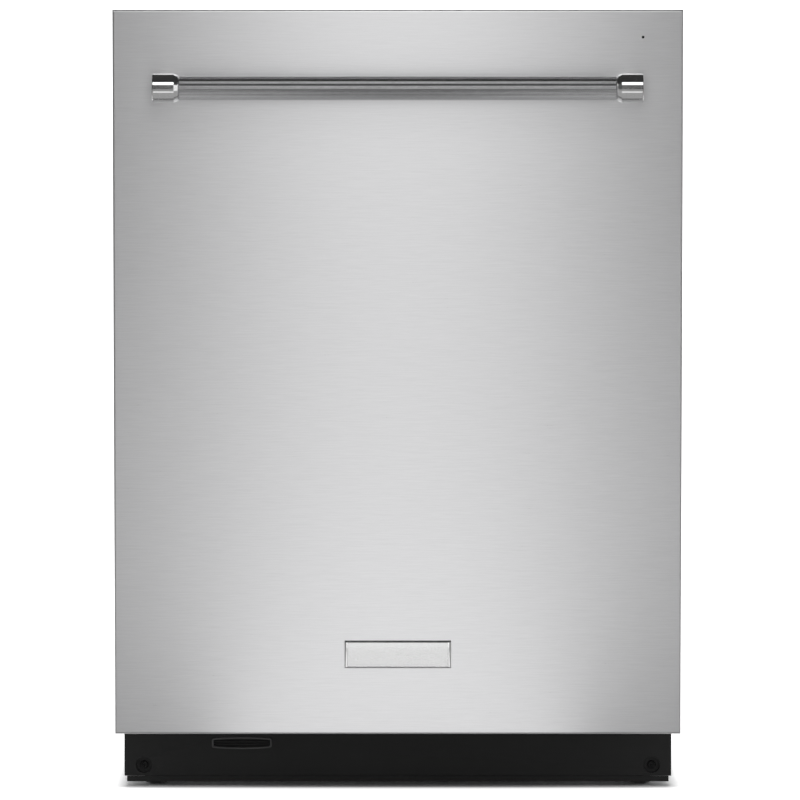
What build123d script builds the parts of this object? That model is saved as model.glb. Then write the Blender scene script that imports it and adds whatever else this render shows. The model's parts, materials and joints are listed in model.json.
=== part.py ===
from build123d import *
import os

# A built-in dishwasher, 24 inches wide, with a pull-down door, hidden controls on the door's top edge,
# two wire racks, three spray arms and the wash system under a stainless tub. Millimetres.
# +Z is up and -Y is the front. The origin is on the floor, under the middle of the whole object.
# "Depth" is always measured back from the door's front face.

os.makedirs("parts", exist_ok=True)

# Door front, toe kick and handle
door_width = 606.0
door_height = 774.0
door_bottom = 71.0
door_top = door_bottom + door_height
body_depth = 622.0
handle_standoff = 52.0
handle_length = 517.0
handle_height = 763.0
handle_bar_radius = 12.7
handle_end_radius = 15.6
handle_end_length = 27.0
toe_recess = 104.0
toe_width = 596.0
toe_bottom = 11.0
toe_top = 92.0
kick_plate_bottom = 4.8

# Cabinet
sheet = 1.0
tub_half_width = 276.0
tub_ceiling = 812.0
track_height = 132.0
mouth_half_width = 271.0
mouth_top = 806.0
frame_depth = 58.0
frame_half_width = 294.0
frame_bottom = 108.0
frame_top = 842.0
tub_start = 59.4
rear_wall_depth = 599.0
floor_height = 105.2
wash_depth = 331.0  # the axis that all three spray arms turn on

# Door parts
outer_return = 24.0
liner_half_width = 285.0
liner_front = 24.1
liner_back = 52.0
liner_bottom = 110.0
liner_top = 822.0
hinge_depth = 35.0
hinge_height = 115.0
hinge_pin_radius = 4.0

# Racks
wire = 4.4
wire_gap = 0.05
rack_half_width = 244.0
rack_front = 84.0
rack_rear = 572.0
wheel_radius = 17.5
wheel_width = 12.0
wheel_inner_face = 254.0
axle_height = track_height + wheel_radius + 0.3
axle_wire = 5.9
axle_depths = (120.0, 235.0, 400.0, 525.0)
lower_floor = 155.2
lower_rim = 288.0
upper_floor = 494.0
upper_rim = 620.0

# Base
foot_side = 264.5
foot_front = 129.5
foot_rear = 560.0
foot_radius = 12.5
rail_front = 86.0

front = (handle_standoff + handle_end_radius - body_depth) / 2
door_middle = (door_bottom + door_top) / 2


def y_at(depth):
    """The Y of a place that lies this far behind the door's front face."""
    return front + depth


def facing_front(depth):
    """A plane that faces the front at this depth, with X across and Z up. A negative extrude goes back."""
    return Plane.XZ.offset(-y_at(depth))


def block(x_range, depth_range, z_range, mode=Mode.ADD):
    """A plain block between two limits on each axis, in the part that is being built."""
    (x0, x1), (d0, d1), (z0, z1) = x_range, depth_range, z_range
    with Locations(((x0 + x1) / 2, y_at((d0 + d1) / 2), (z0 + z1) / 2)):
        Box(x1 - x0, d1 - d0, z1 - z0, mode=mode)


def bent_wire(points, diameter=wire):
    """A wire of four-sided section, bent through the points."""
    first, second = Vector(points[0]), Vector(points[1])
    with BuildPart() as bent:
        with BuildLine():
            Polyline(*points)
        with BuildSketch(Plane(origin=first, z_dir=second - first)):
            RegularPolygon(diameter / 2, 4)
        sweep(transition=Transition.RIGHT)
    return bent.part


def evenly(first, last, count):
    """That many numbers, evenly spaced from first to last."""
    return [first + (last - first) * i / (count - 1) for i in range(count)]


written = []


def write(part, name):
    """Labels a finished piece and writes it as parts/name.step."""
    part.label = name
    export_step(part, f"parts/{name}.step")
    written.append(name)


# Door outer panel: one stainless sheet, folded back at all four edges over a small bend radius.
# The top fold is shorter, to leave the control strip open.
bend_radius = 2.0
top_fold = 12.0
light_x, light_z = 260.3, 816.0
light_radius = 1.5

with BuildPart() as door_outer_panel:
    with BuildSketch(facing_front(0)):
        with Locations((0, door_middle)):
            Rectangle(door_width, door_height)
    extrude(amount=-outer_return)
    fillet(door_outer_panel.faces().sort_by(Axis.Y)[0].edges(), bend_radius)
    offset(amount=-sheet, openings=door_outer_panel.faces().sort_by(Axis.Y)[-1])
    block((-liner_half_width - 14, liner_half_width + 14), (top_fold, outer_return + 1),
          (door_top - 2 * sheet, door_top + 1), Mode.SUBTRACT)
    with BuildSketch(facing_front(0)):
        with Locations((light_x, light_z)):
            RegularPolygon(light_radius, 12)
    extrude(amount=-2 * sheet, mode=Mode.SUBTRACT)
write(door_outer_panel.part, "door_outer_panel")


# Towel-bar handle: a tube seated in two turned ends, each with a round post to the door.
bar_seat = 8.0
end_chamfer = 4.0
post_radius = 12.5
post_x = handle_length / 2 - handle_end_length / 2
bar_half_length = handle_length / 2 - handle_end_length + bar_seat
handle_plane = Plane.YZ.offset(-bar_half_length)

with BuildPart() as handle_bar:
    with BuildSketch(handle_plane):
        with Locations((y_at(-handle_standoff), handle_height)):
            Circle(handle_bar_radius)
    extrude(amount=2 * bar_half_length)
write(handle_bar.part, "handle_bar")

with BuildPart() as handle_ends:
    with BuildSketch(Plane.YZ.offset(handle_length / 2)):
        with Locations((y_at(-handle_standoff), handle_height)):
            Circle(handle_end_radius)
    extrude(amount=-handle_end_length)
    chamfer(handle_ends.faces().sort_by(Axis.X)[0].edges(), end_chamfer, end_chamfer / 2)
    with BuildSketch(facing_front(0)):
        with Locations((post_x, handle_height)):
            Circle(post_radius)
    extrude(amount=handle_standoff - 2)
    with BuildSketch(handle_plane):
        with Locations((y_at(-handle_standoff), handle_height)):
            Circle(handle_bar_radius)
    extrude(amount=2 * bar_half_length, mode=Mode.SUBTRACT)
    mirror(about=Plane.YZ)
write(handle_ends.part, "handle_ends")


# Blank badge plate near the door's bottom, and the small light that shows through the door's top corner.
badge_width = 114.0
badge_height = 29.6
badge_thickness = 3.0
badge_bevel = 2.2
badge_border = 3.4
badge_sunk = 0.8
badge_z = 157.0

with BuildPart() as badge_plate:
    with BuildSketch(facing_front(0)):
        with Locations((0, badge_z)):
            Rectangle(badge_width, badge_height)
    extrude(amount=badge_thickness)
    chamfer(badge_plate.faces().sort_by(Axis.Y)[0].edges(), badge_bevel)
    with BuildSketch(facing_front(-badge_thickness)):
        with Locations((0, badge_z)):
            Rectangle(badge_width - 2 * badge_border, badge_height - 2 * badge_border)
    extrude(amount=-badge_sunk, mode=Mode.SUBTRACT)
write(badge_plate.part, "badge_plate")

with BuildPart() as status_light:
    with BuildSketch(facing_front(0.3)):
        with Locations((light_x, light_z)):
            RegularPolygon(light_radius - 0.1, 12)
    extrude(amount=-12)
write(status_light.part, "status_light")


# Door liner: a stainless tray that closes the tub, with a shallow pressed field, a cut-out for the
# dispenser, and a flange that rests on the outer panel's folds. Its plain margins are the lower rack's
# track when the door lies open.
field_half_width = 236.0
field_bottom = 150.0
field_top = 786.0
field_press = 3.0
flange_half_width = 301.0
flange_bottom = door_bottom + 1.5
dispenser_half_width = 114.0
dispenser_bottom = 336.0
dispenser_top = 450.0

with BuildPart() as door_liner:
    block((-liner_half_width, liner_half_width), (liner_front, liner_back), (liner_bottom, liner_top))
    fillet(door_liner.faces().sort_by(Axis.Y)[-1].edges().filter_by(Axis.X), 4)
    with BuildSketch(facing_front(liner_back)):
        with Locations((0, (field_bottom + field_top) / 2)):
            Rectangle(2 * field_half_width, field_top - field_bottom)
    extrude(amount=field_press, taper=45, mode=Mode.SUBTRACT)
    offset(amount=-sheet, openings=door_liner.faces().sort_by(Axis.Y)[0], kind=Kind.INTERSECTION)
    block((-flange_half_width, flange_half_width), (liner_front, liner_front + sheet),
          (flange_bottom, liner_top))
    block((1 - liner_half_width, liner_half_width - 1), (liner_front - 1, liner_front + 2),
          (liner_bottom + 1, liner_top - 1), Mode.SUBTRACT)
    block((-dispenser_half_width, dispenser_half_width), (liner_front, liner_back + 1),
          (dispenser_bottom, dispenser_top), Mode.SUBTRACT)
write(door_liner.part, "door_liner")


# Control strip on the door's top edge, with pockets for the keys and a recess for the latch.
strip_half_width = 298.0
strip_front = 12.6
strip_back = 53.0
strip_bottom = 822.6
strip_top = 843.5
key_size = (24.0, 11.0)
key_depth = 30.0
key_places = (-215.0, -130.0, 130.0, 215.0)
key_gap = 0.4
key_rise = 0.9
key_body = 8.0
key_travel = 1.5
latch_half_width = 26.0
latch_front = 29.0
latch_height = (825.0, 840.0)

with BuildPart() as control_strip:
    block((-strip_half_width, strip_half_width), (strip_front, strip_back), (strip_bottom, strip_top))
    chamfer(control_strip.edges().filter_by(Axis.X).group_by(Axis.Z)[-1].sort_by(Axis.Y)[-1], 3)
    block((-strip_half_width + 2, strip_half_width - 2), (2, liner_front - 1), (796, strip_bottom))
    with BuildSketch(Plane.XY.offset(strip_top)):
        with Locations(*[(x, y_at(key_depth)) for x in key_places]):
            Rectangle(key_size[0] + 2 * key_gap, key_size[1] + 2 * key_gap)
    extrude(amount=-(key_body + key_travel + 1), mode=Mode.SUBTRACT)
    block((-latch_half_width - 0.2, latch_half_width + 0.2), (latch_front - 0.2, strip_back + 1),
          (latch_height[0] - 0.2, latch_height[1] + 0.2), Mode.SUBTRACT)
    with BuildSketch(facing_front(0)):
        with Locations((light_x, light_z)):
            RegularPolygon(light_radius, 12)
    extrude(amount=-15, mode=Mode.SUBTRACT)
write(control_strip.part, "control_strip")

for name, x in zip(("power_key", "cycle_key", "options_key", "start_key"), key_places):
    with BuildPart() as key:
        with BuildSketch(Plane.XY.offset(strip_top + key_rise)):
            with Locations((x, y_at(key_depth))):
                Rectangle(*key_size)
        extrude(amount=-(key_body + key_rise))
        chamfer(key.faces().sort_by(Axis.Z)[-1].edges(), 0.6)
    write(key.part, name)


# Door latch. It grips the tongue of the strike on the tub's front frame.
tongue_half_width = 9.0
tongue_height = (831.0, 833.5)
tongue_tip = 38.0

with BuildPart() as door_latch:
    block((-latch_half_width, latch_half_width), (latch_front, strip_back), latch_height)
    block((-tongue_half_width - 2, tongue_half_width + 2), (tongue_tip - 3, strip_back + 1),
          (tongue_height[0] - 2, tongue_height[1] + 2), Mode.SUBTRACT)
write(door_latch.part, "door_latch")


# Detergent dispenser: a moulded housing in the liner, with a cup, a sliding lid and a rinse-aid cap.
housing_front = 30.0
housing_rim = 56.0
cup_x = (-58.0, -2.0)
cup_z = (362.0, 424.0)
lid_travel = 62.0
cap_x = 92.0
cap_z = 393.0
cap_radius = 16.0
lid_back = housing_rim + 4.2

with BuildPart() as dispenser_housing:
    block((-dispenser_half_width + 0.4, dispenser_half_width - 0.4), (housing_front, liner_back + 0.2),
          (dispenser_bottom + 0.4, dispenser_top - 0.4))
    block((-dispenser_half_width - 5, dispenser_half_width + 5), (liner_back + 0.1, housing_rim),
          (dispenser_bottom - 5, dispenser_top + 5))
    chamfer(dispenser_housing.faces().sort_by(Axis.Y)[-1].edges(), 1.5)
    block(cup_x, (housing_rim - 22, housing_rim + 1), cup_z, Mode.SUBTRACT)
    for rail in ((cup_z[0] - 8, cup_z[0] - 5.4), (cup_z[1] + 5.4, cup_z[1] + 8)):
        block((cup_x[0] - 6, cup_x[1] + lid_travel + 8), (housing_rim - 0.1, lid_back + 0.6), rail)
    with BuildSketch(facing_front(housing_rim)):
        with Locations((cap_x, cap_z)):
            Circle(cap_radius - 3)
    extrude(amount=14, mode=Mode.SUBTRACT)
write(dispenser_housing.part, "dispenser_housing")

with BuildPart() as dispenser_lid:
    block((cup_x[0] - 5, cup_x[1] + 5), (housing_rim + 0.3, lid_back), (cup_z[0] - 5, cup_z[1] + 5))
    chamfer(dispenser_lid.faces().sort_by(Axis.Y)[-1].edges(), 1)
    for step in (0.0, 7.0, 14.0):
        block((cup_x[0] + 4 + step, cup_x[0] + 7 + step), (lid_back - 0.1, lid_back + 2),
              (cup_z[0] + 12, cup_z[1] - 12))
write(dispenser_lid.part, "dispenser_lid")

with BuildPart() as rinse_aid_cap:
    with BuildSketch(facing_front(housing_rim + 0.3)):
        with Locations((cap_x, cap_z)):
            RegularPolygon(cap_radius, 24)
    extrude(amount=-3)
    with BuildSketch(facing_front(housing_rim + 0.3)):
        with Locations((cap_x, cap_z)):
            RegularPolygon(cap_radius - 3.4, 12)
    extrude(amount=12)
    block((cap_x - 2.2, cap_x + 2.2), (housing_rim + 3, housing_rim + 8), (cap_z - 12, cap_z + 12))
write(rinse_aid_cap.part, "rinse_aid_cap")


# Hinges: an arm on each side of the liner, and a bracket with its pin on each side of the base.
arm_inner_face = 285.3
arm_thickness = 3.0
bracket_outer_face = 291.8
bracket_thickness = 2.4
pin_clearance = 0.05
pin_tip = arm_inner_face + 0.3
arm_back = 48.0
arm_top = 330.0
arm_shoulder = 140.0
eye_reach, eye_corner, eye_drop = 7.0, 4.0, 8.0
ear_reach, ear_corner = 9.0, 6.4
web_top = 127.0
web_rear = 118.0
web_slope = (60.0, 74.0)

with BuildPart() as hinge_arms:
    with BuildSketch(Plane.YZ.offset(arm_inner_face)):
        with BuildLine():
            Polyline((y_at(hinge_depth - eye_reach), hinge_height - eye_corner),
                     (y_at(hinge_depth - eye_reach), arm_top), (y_at(arm_back), arm_top),
                     (y_at(arm_back), arm_shoulder), (y_at(hinge_depth + eye_reach), hinge_height),
                     (y_at(hinge_depth + eye_reach), hinge_height - eye_corner),
                     (y_at(hinge_depth + eye_reach - eye_corner), hinge_height - eye_drop),
                     (y_at(hinge_depth - eye_reach + eye_corner), hinge_height - eye_drop), close=True)
        make_face()
        with Locations((y_at(hinge_depth), hinge_height)):
            Circle(hinge_pin_radius + pin_clearance, mode=Mode.SUBTRACT)
    extrude(amount=arm_thickness)
    mirror(about=Plane.YZ)
write(hinge_arms.part, "hinge_arms")

with BuildPart() as hinge_brackets:
    with BuildSketch(Plane.YZ.offset(bracket_outer_face)):
        with BuildLine():
            Polyline((y_at(hinge_depth), hinge_height + ear_reach),
                     (y_at(web_slope[0]), hinge_height + ear_reach), (y_at(web_slope[1]), web_top),
                     (y_at(web_rear), web_top), (y_at(web_rear), hinge_height - ear_reach),
                     (y_at(hinge_depth), hinge_height - ear_reach),
                     (y_at(hinge_depth - ear_corner), hinge_height - ear_corner),
                     (y_at(hinge_depth - ear_reach), hinge_height),
                     (y_at(hinge_depth - ear_corner), hinge_height + ear_corner), close=True)
        make_face()
    extrude(amount=-bracket_thickness)
    with BuildSketch(Plane.YZ.offset(bracket_outer_face)):
        with Locations((y_at(hinge_depth), hinge_height)):
            Circle(hinge_pin_radius)
    extrude(amount=pin_tip - bracket_outer_face)
    mirror(about=Plane.YZ)
write(hinge_brackets.part, "hinge_brackets")


# Tub: a wrapped sheet for the sides and ceiling, a pressed rear panel, a floor pan with the wheel tracks,
# and a folded front frame around the mouth.
tub_corner = 26.0
wall = sheet
rear_panel_depth = 7.0
rear_field_x = 146.0
rear_field_width = 210.0
rear_field_heights = ((170.0, 440.0), (480.0, 780.0))

with BuildPart() as tub_wrapper:
    with BuildSketch(facing_front(tub_start)):
        with BuildLine():
            outline = FilletPolyline(
                (-tub_half_width, track_height + 0.1), (-tub_half_width, tub_ceiling),
                (tub_half_width, tub_ceiling), (tub_half_width, track_height + 0.1), radius=tub_corner)
            offset(outline, amount=wall, side=Side.LEFT)
        make_face()
    extrude(amount=-(rear_wall_depth - tub_start))
write(tub_wrapper.part, "tub_wrapper")

with BuildPart() as tub_rear_panel:
    with BuildSketch(facing_front(rear_wall_depth + 0.1)):
        with Locations((0, (track_height + tub_ceiling) / 2)):
            panel = Rectangle(2 * (tub_half_width + 1), tub_ceiling - track_height + 2)
        chamfer(panel.vertices(), tub_corner * 0.7)
    extrude(amount=-rear_panel_depth)
    for z_low, z_high in rear_field_heights:
        with BuildSketch(facing_front(rear_wall_depth + 0.1)):
            with Locations((-rear_field_x, (z_low + z_high) / 2), (rear_field_x, (z_low + z_high) / 2)):
                Rectangle(rear_field_width, z_high - z_low)
        extrude(amount=-5, taper=30, mode=Mode.SUBTRACT)
    offset(amount=-wall, openings=tub_rear_panel.faces().sort_by(Axis.Y)[-1], kind=Kind.INTERSECTION)
write(tub_rear_panel.part, "tub_rear_panel")

pan_width = 500.0
pan_length = 520.0
pan_corner = 28.0
pan_sheet = 1.2
pan_drop = track_height - floor_height + pan_sheet
sump_depth = 300.0
sump_radius = 92.0
float_x, float_depth = -176.0, 124.0
float_stem = 4.0
tub_length = rear_wall_depth - tub_start

with BuildPart() as tub_floor:
    with BuildSketch(Plane.XY.offset(track_height)):
        with Locations((0, y_at(tub_start + tub_length / 2))):
            Rectangle(2 * (tub_half_width + 1), tub_length)
    extrude(amount=-pan_sheet)
    with BuildSketch(Plane.XY.offset(track_height)):
        with Locations((0, y_at(wash_depth))):
            pan = Rectangle(pan_width, pan_length)
        chamfer(pan.vertices(), pan_corner)
    extrude(amount=-pan_drop, taper=30)
    with BuildSketch(Plane.XY.offset(track_height)):
        with Locations((0, y_at(wash_depth))):
            pan = Rectangle(pan_width - 3, pan_length - 3)
        chamfer(pan.vertices(), pan_corner - 0.5)
    extrude(amount=-(pan_drop - pan_sheet), taper=30, mode=Mode.SUBTRACT)
    with BuildSketch(Plane.XY.offset(floor_height - 2)):
        with Locations((0, y_at(sump_depth))):
            RegularPolygon(sump_radius, 24)
        with Locations((float_x, y_at(float_depth))):
            RegularPolygon(float_stem + 0.6, 8)
    extrude(amount=4, mode=Mode.SUBTRACT)
write(tub_floor.part, "tub_floor")

frame_fold = 15.0
frame_sheet = 1.2
mouth_corner = 22.0
frame_notch = (284.0, 130.0)

with BuildPart() as tub_front_frame:
    block((-frame_half_width, frame_half_width), (frame_depth, frame_depth + frame_fold),
          (frame_bottom, frame_top))
    rear_face = tub_front_frame.faces().sort_by(Axis.Y)[-1]
    offset(amount=-frame_sheet, openings=rear_face, kind=Kind.INTERSECTION)
    with BuildSketch(facing_front(frame_depth - 1)):
        with Locations((0, (track_height - 0.6 + mouth_top) / 2)):
            RectangleRounded(2 * mouth_half_width, mouth_top - track_height + 0.6, mouth_corner)
    extrude(amount=-4, mode=Mode.SUBTRACT)
    for side in (-1, 1):
        low, high = sorted((side * frame_notch[0], side * (frame_half_width + 1)))
        block((low, high), (frame_depth - 1, frame_depth + frame_fold + 1),
              (frame_bottom - 1, frame_notch[1]), Mode.SUBTRACT)
write(tub_front_frame.part, "tub_front_frame")

gasket_front = 52.4
gasket_half_width = 284.0
gasket_bar = 11.0
gasket_bottom = 116.0
gasket_top = 819.0

with BuildPart() as tub_gasket:
    with BuildSketch(facing_front(gasket_front)):
        with Locations((0, (gasket_bottom + gasket_top) / 2)):
            outside = Rectangle(2 * gasket_half_width, gasket_top - gasket_bottom)
        chamfer(outside.vertices(), 16)
        offset(amount=-gasket_bar, kind=Kind.INTERSECTION, mode=Mode.SUBTRACT)
    extrude(amount=-(frame_depth - gasket_front - 0.1))
write(tub_gasket.part, "tub_gasket")


# Insulation: a felt blanket wrapped over the tub's sides and top, with a second sheet across the back.
blanket = 13.0
blanket_bottom = 136.0
blanket_front = 76.0
blanket_rear = 598.0
rear_sheet_bottom = 230.0
rear_sheet_top = 806.0
rear_sheet_width = 540.0
rear_sheet_thickness = 12.0
rear_sheet_corner = 14.0
blanket_inside = tub_half_width + wall + 0.4

with BuildPart() as insulation_blanket:
    with BuildSketch(facing_front(blanket_front)):
        with BuildLine():
            inside = FilletPolyline(
                (-blanket_inside, blanket_bottom), (-blanket_inside, tub_ceiling + wall + 0.4),
                (blanket_inside, tub_ceiling + wall + 0.4), (blanket_inside, blanket_bottom),
                radius=tub_corner + 1)
            offset(inside, amount=blanket, side=Side.LEFT)
        make_face()
    extrude(amount=-(blanket_rear - blanket_front))
    with BuildSketch(facing_front(rear_wall_depth + 7.4)):
        with Locations((0, (rear_sheet_bottom + rear_sheet_top) / 2)):
            rear_sheet = Rectangle(rear_sheet_width, rear_sheet_top - rear_sheet_bottom)
        chamfer(rear_sheet.vertices(), rear_sheet_corner)
    extrude(amount=-rear_sheet_thickness)
write(insulation_blanket.part, "insulation_blanket")


# Base: two folded side rails with lightening cut-outs, welded to a rear cross member.
rail_rear = body_depth
rail_top = 130.6
rail_bottom = 18.0
rail_sheet = 2.0
rail_inner = 250.0
rail_lip = 262.0
cut_out_depths = (265.0, 470.0)
cut_out_height = 76.0
cut_out_size = (150.0, 56.0)
stud_hole_radius = 5.6
cross_front = 594.0
cross_rear = 620.0
cross_bottom = 22.0
cross_top = 60.0

with BuildPart() as base_frame:
    with BuildSketch(facing_front(rail_front)):
        with BuildLine():
            Polyline((rail_inner, rail_bottom), (frame_half_width, rail_bottom),
                     (frame_half_width, rail_top), (rail_lip, rail_top), (rail_lip, rail_top - rail_sheet),
                     (frame_half_width - rail_sheet, rail_top - rail_sheet),
                     (frame_half_width - rail_sheet, rail_bottom + rail_sheet),
                     (rail_inner, rail_bottom + rail_sheet), close=True)
        make_face()
    extrude(amount=-(rail_rear - rail_front))
    with BuildSketch(Plane.YZ.offset(frame_half_width + 1)):
        with Locations(*[(y_at(depth), cut_out_height) for depth in cut_out_depths]):
            cut_out = Rectangle(*cut_out_size)
        chamfer(cut_out.vertices(), 12)
    extrude(amount=-6, mode=Mode.SUBTRACT)
    block((rail_inner - 1, frame_half_width + 1), (rail_front - 1, toe_recess + 3.2),
          (rail_bottom - 1, toe_top + 1), Mode.SUBTRACT)
    block((rail_inner - 1, frame_half_width - rail_sheet), (rail_front - 1, toe_recess + 8),
          (rail_bottom - 1, rail_bottom + 18), Mode.SUBTRACT)
    with BuildSketch(Plane.XY.offset(rail_bottom - 1)):
        with Locations((foot_side, y_at(foot_front)), (foot_side, y_at(foot_rear))):
            RegularPolygon(stud_hole_radius, 8)
    extrude(amount=4, mode=Mode.SUBTRACT)
    mirror(about=Plane.YZ)
    with BuildSketch(Plane.YZ.offset(-(rail_inner - 0.4))):
        with BuildLine():
            Polyline((y_at(cross_front), cross_bottom), (y_at(cross_rear), cross_bottom),
                     (y_at(cross_rear), cross_top), (y_at(cross_front), cross_top),
                     (y_at(cross_front), cross_top - rail_sheet),
                     (y_at(cross_rear - rail_sheet), cross_top - rail_sheet),
                     (y_at(cross_rear - rail_sheet), cross_bottom + rail_sheet),
                     (y_at(cross_front), cross_bottom + rail_sheet), close=True)
        make_face()
    extrude(amount=2 * (rail_inner - 0.4))
write(base_frame.part, "base_frame")


# Levelling feet: a stud through the rail, with a six-sided foot that a wrench turns.
foot_height = 8.0
stud_radius = 5.0
stud_top = 58.0
foot_places = {
    "foot_front_left": (-foot_side, foot_front),
    "foot_front_right": (foot_side, foot_front),
    "foot_rear_left": (-foot_side, foot_rear),
    "foot_rear_right": (foot_side, foot_rear),
}

for name, (x, depth) in foot_places.items():
    with BuildPart() as foot:
        with BuildSketch(Plane.XY):
            with Locations((x, y_at(depth))):
                RegularPolygon(foot_radius, 6)
        extrude(amount=foot_height)
        with BuildSketch(Plane.XY.offset(foot_height)):
            with Locations((x, y_at(depth))):
                RegularPolygon(stud_radius, 8)
        extrude(amount=stud_top - foot_height)
    write(foot.part, name)


# Toe kick: an outer access panel with a barrel-shaped vent and two screw recesses, and a lower plate
# behind it.
vent_x, vent_z = -170.0, 47.0
vent_width = 65.0
vent_height = 13.0
vent_bulge = 1.4
vent_rim = 1.6
panel_sheet = 1.4
panel_fold = 14.0
screw_x, screw_z = 276.5, 23.0
screw_recess_radius = 9.0
screw_hole_radius = 2.6


def barrel(width, height, bulge):
    """A bar whose long sides bow outwards, as a sketch round its own middle."""
    half, low = width / 2, height / 2 - bulge
    with BuildSketch() as outline:
        with BuildLine():
            Line((-half, -low), (-half, low))
            ThreePointArc((-half, low), (0, low + bulge), (half, low))
            Line((half, low), (half, -low))
            ThreePointArc((half, -low), (0, -low - bulge), (-half, -low))
        make_face()
    return outline.sketch


with BuildPart() as access_panel:
    block((-toe_width / 2, toe_width / 2), (toe_recess, toe_recess + panel_fold), (toe_bottom, toe_top))
    offset(amount=-panel_sheet, openings=access_panel.faces().sort_by(Axis.Y)[-1], kind=Kind.INTERSECTION)
    behind_face = (toe_recess + panel_sheet, toe_recess + panel_fold + 1)
    block((panel_sheet - toe_width / 2, toe_width / 2 - panel_sheet), behind_face,
          (toe_bottom - 1, toe_bottom + panel_sheet), Mode.SUBTRACT)
    for left, right in ((-frame_half_width - 1, -rail_inner), (rail_inner, frame_half_width + 1)):
        block((left, right), behind_face, (toe_top - 4, toe_top + 1), Mode.SUBTRACT)
    with BuildSketch(Plane(origin=(vent_x, y_at(toe_recess), vent_z), x_dir=(1, 0, 0), z_dir=(0, -1, 0))):
        add(barrel(vent_width, vent_height, vent_bulge))
    extrude(amount=0.7)
    with BuildSketch(facing_front(toe_recess + 0.1)):
        with Locations((-screw_x, screw_z), (screw_x, screw_z)):
            RegularPolygon(screw_recess_radius + panel_sheet, 12)
    extrude(amount=-5)
    vent_mouth = Plane(origin=(vent_x, y_at(toe_recess - 1), vent_z), x_dir=(1, 0, 0), z_dir=(0, -1, 0))
    with BuildSketch(vent_mouth):
        add(barrel(vent_width - 2 * vent_rim, vent_height - 2 * vent_rim, vent_bulge))
    extrude(amount=-4, mode=Mode.SUBTRACT)
    with BuildSketch(facing_front(toe_recess)):
        with Locations((-screw_x, screw_z), (screw_x, screw_z)):
            RegularPolygon(screw_recess_radius, 12)
    extrude(amount=-3.6, mode=Mode.SUBTRACT)
    with BuildSketch(facing_front(toe_recess)):
        with Locations((-screw_x, screw_z), (screw_x, screw_z)):
            RegularPolygon(screw_hole_radius, 8)
    extrude(amount=-8, mode=Mode.SUBTRACT)
write(access_panel.part, "access_panel")

kick_plate_half_width = 295.2

with BuildPart() as lower_kick_plate:
    block((-kick_plate_half_width, kick_plate_half_width), (toe_recess + 0.3, toe_recess + 1.5),
          (kick_plate_bottom, toe_bottom - 0.2))
    block((-kick_plate_half_width + 30, kick_plate_half_width - 30), (toe_recess + 1.5, toe_recess + 2.7),
          (kick_plate_bottom, 40))
write(lower_kick_plate.part, "lower_kick_plate")


# Steel brackets on the front frame: two that are screwed up into the countertop, and the latch's strike.
counter_bracket_x = 190.0
counter_hole_depth = 86.0
counter_hole_radius = 2.5
counter_bracket_half_width = 17.0
bracket_top = frame_top + 1.5
strike_half_width = 22.0
strike_height = (823.0, 841.0)

with BuildPart() as frame_brackets:
    for side in (-1, 1):
        middle = side * counter_bracket_x
        block((middle - counter_bracket_half_width, middle + counter_bracket_half_width), (60, 98),
              (frame_top + 0.1, bracket_top))
    with BuildSketch(Plane.XY.offset(frame_top)):
        with Locations(*[(side * counter_bracket_x, y_at(counter_hole_depth)) for side in (-1, 1)]):
            Circle(counter_hole_radius)
    extrude(amount=3, mode=Mode.SUBTRACT)
    block((-strike_half_width, strike_half_width), (frame_depth - 1.8, frame_depth - 0.1), strike_height)
    block((-tongue_half_width, tongue_half_width), (tongue_tip, frame_depth - 0.1), tongue_height)
write(frame_brackets.part, "frame_brackets")


# Counterbalance springs of the door, inside the base rails. Each hangs between a strap on its hinge bracket
# and a tab on its rail.
spring_x, spring_z = 280.5, 116.0
spring_radius = 8.0
spring_front = 170.0
spring_length = 150.0
strap_x = (286.8, 289.2)
strap_depth = (100.0, 176.0)
strap_height = (spring_z - 3, spring_z + 3)
tab_x = (286.8, frame_half_width - rail_sheet - 0.2)
tab_depth = (316.0, 334.0)

with BuildPart() as door_springs:
    with BuildSketch(facing_front(spring_front)):
        with Locations((spring_x, spring_z)):
            RegularPolygon(spring_radius, 12)
    extrude(amount=-spring_length)
    block(strap_x, strap_depth, strap_height)
    block(tab_x, tab_depth, strap_height)
    mirror(about=Plane.YZ)
write(door_springs.part, "door_springs")


# Sump under the tub's floor, with the coarse filter plate and the cup filter that turns out of it.
sump_bottom = 44.0
sump_wall = 2.5
sump_body_radius = 84.0
sump_top = floor_height - 1.4
filter_plate = floor_height + 2.1
cup_radius = 30.0
cup_depth = 256.0
cup_wall = 1.6
cup_bottom = sump_bottom + 12
cup_top = filter_plate + 4
stub_radius = 15.0

with BuildPart() as sump_housing:
    with BuildSketch(Plane.XY.offset(sump_top)):
        with Locations((0, y_at(sump_depth))):
            RegularPolygon(sump_radius + 8, 24)
    extrude(amount=-sump_wall)
    with BuildSketch(Plane.XY.offset(sump_top)):
        with Locations((0, y_at(sump_depth))):
            RegularPolygon(sump_body_radius, 24)
    extrude(amount=sump_bottom - sump_top)
    with BuildSketch(Plane.XY.offset(sump_top)):
        with Locations((0, y_at(sump_depth))):
            RegularPolygon(sump_body_radius - sump_wall, 24)
    extrude(amount=sump_bottom + sump_wall - sump_top, mode=Mode.SUBTRACT)
write(sump_housing.part, "sump_housing")

with BuildPart() as coarse_filter:
    with BuildSketch(Plane.XY.offset(sump_top + 0.1)):
        with Locations((0, y_at(sump_depth))):
            RegularPolygon(sump_radius - 0.6, 24)
        with Locations((0, y_at(cup_depth))):
            RegularPolygon(cup_radius + 1.2, 20, mode=Mode.SUBTRACT)
        with Locations((0, y_at(wash_depth))):
            RegularPolygon(stub_radius + 0.3, 12, mode=Mode.SUBTRACT)
    extrude(amount=filter_plate - sump_top - 0.1)
write(coarse_filter.part, "coarse_filter")

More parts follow.
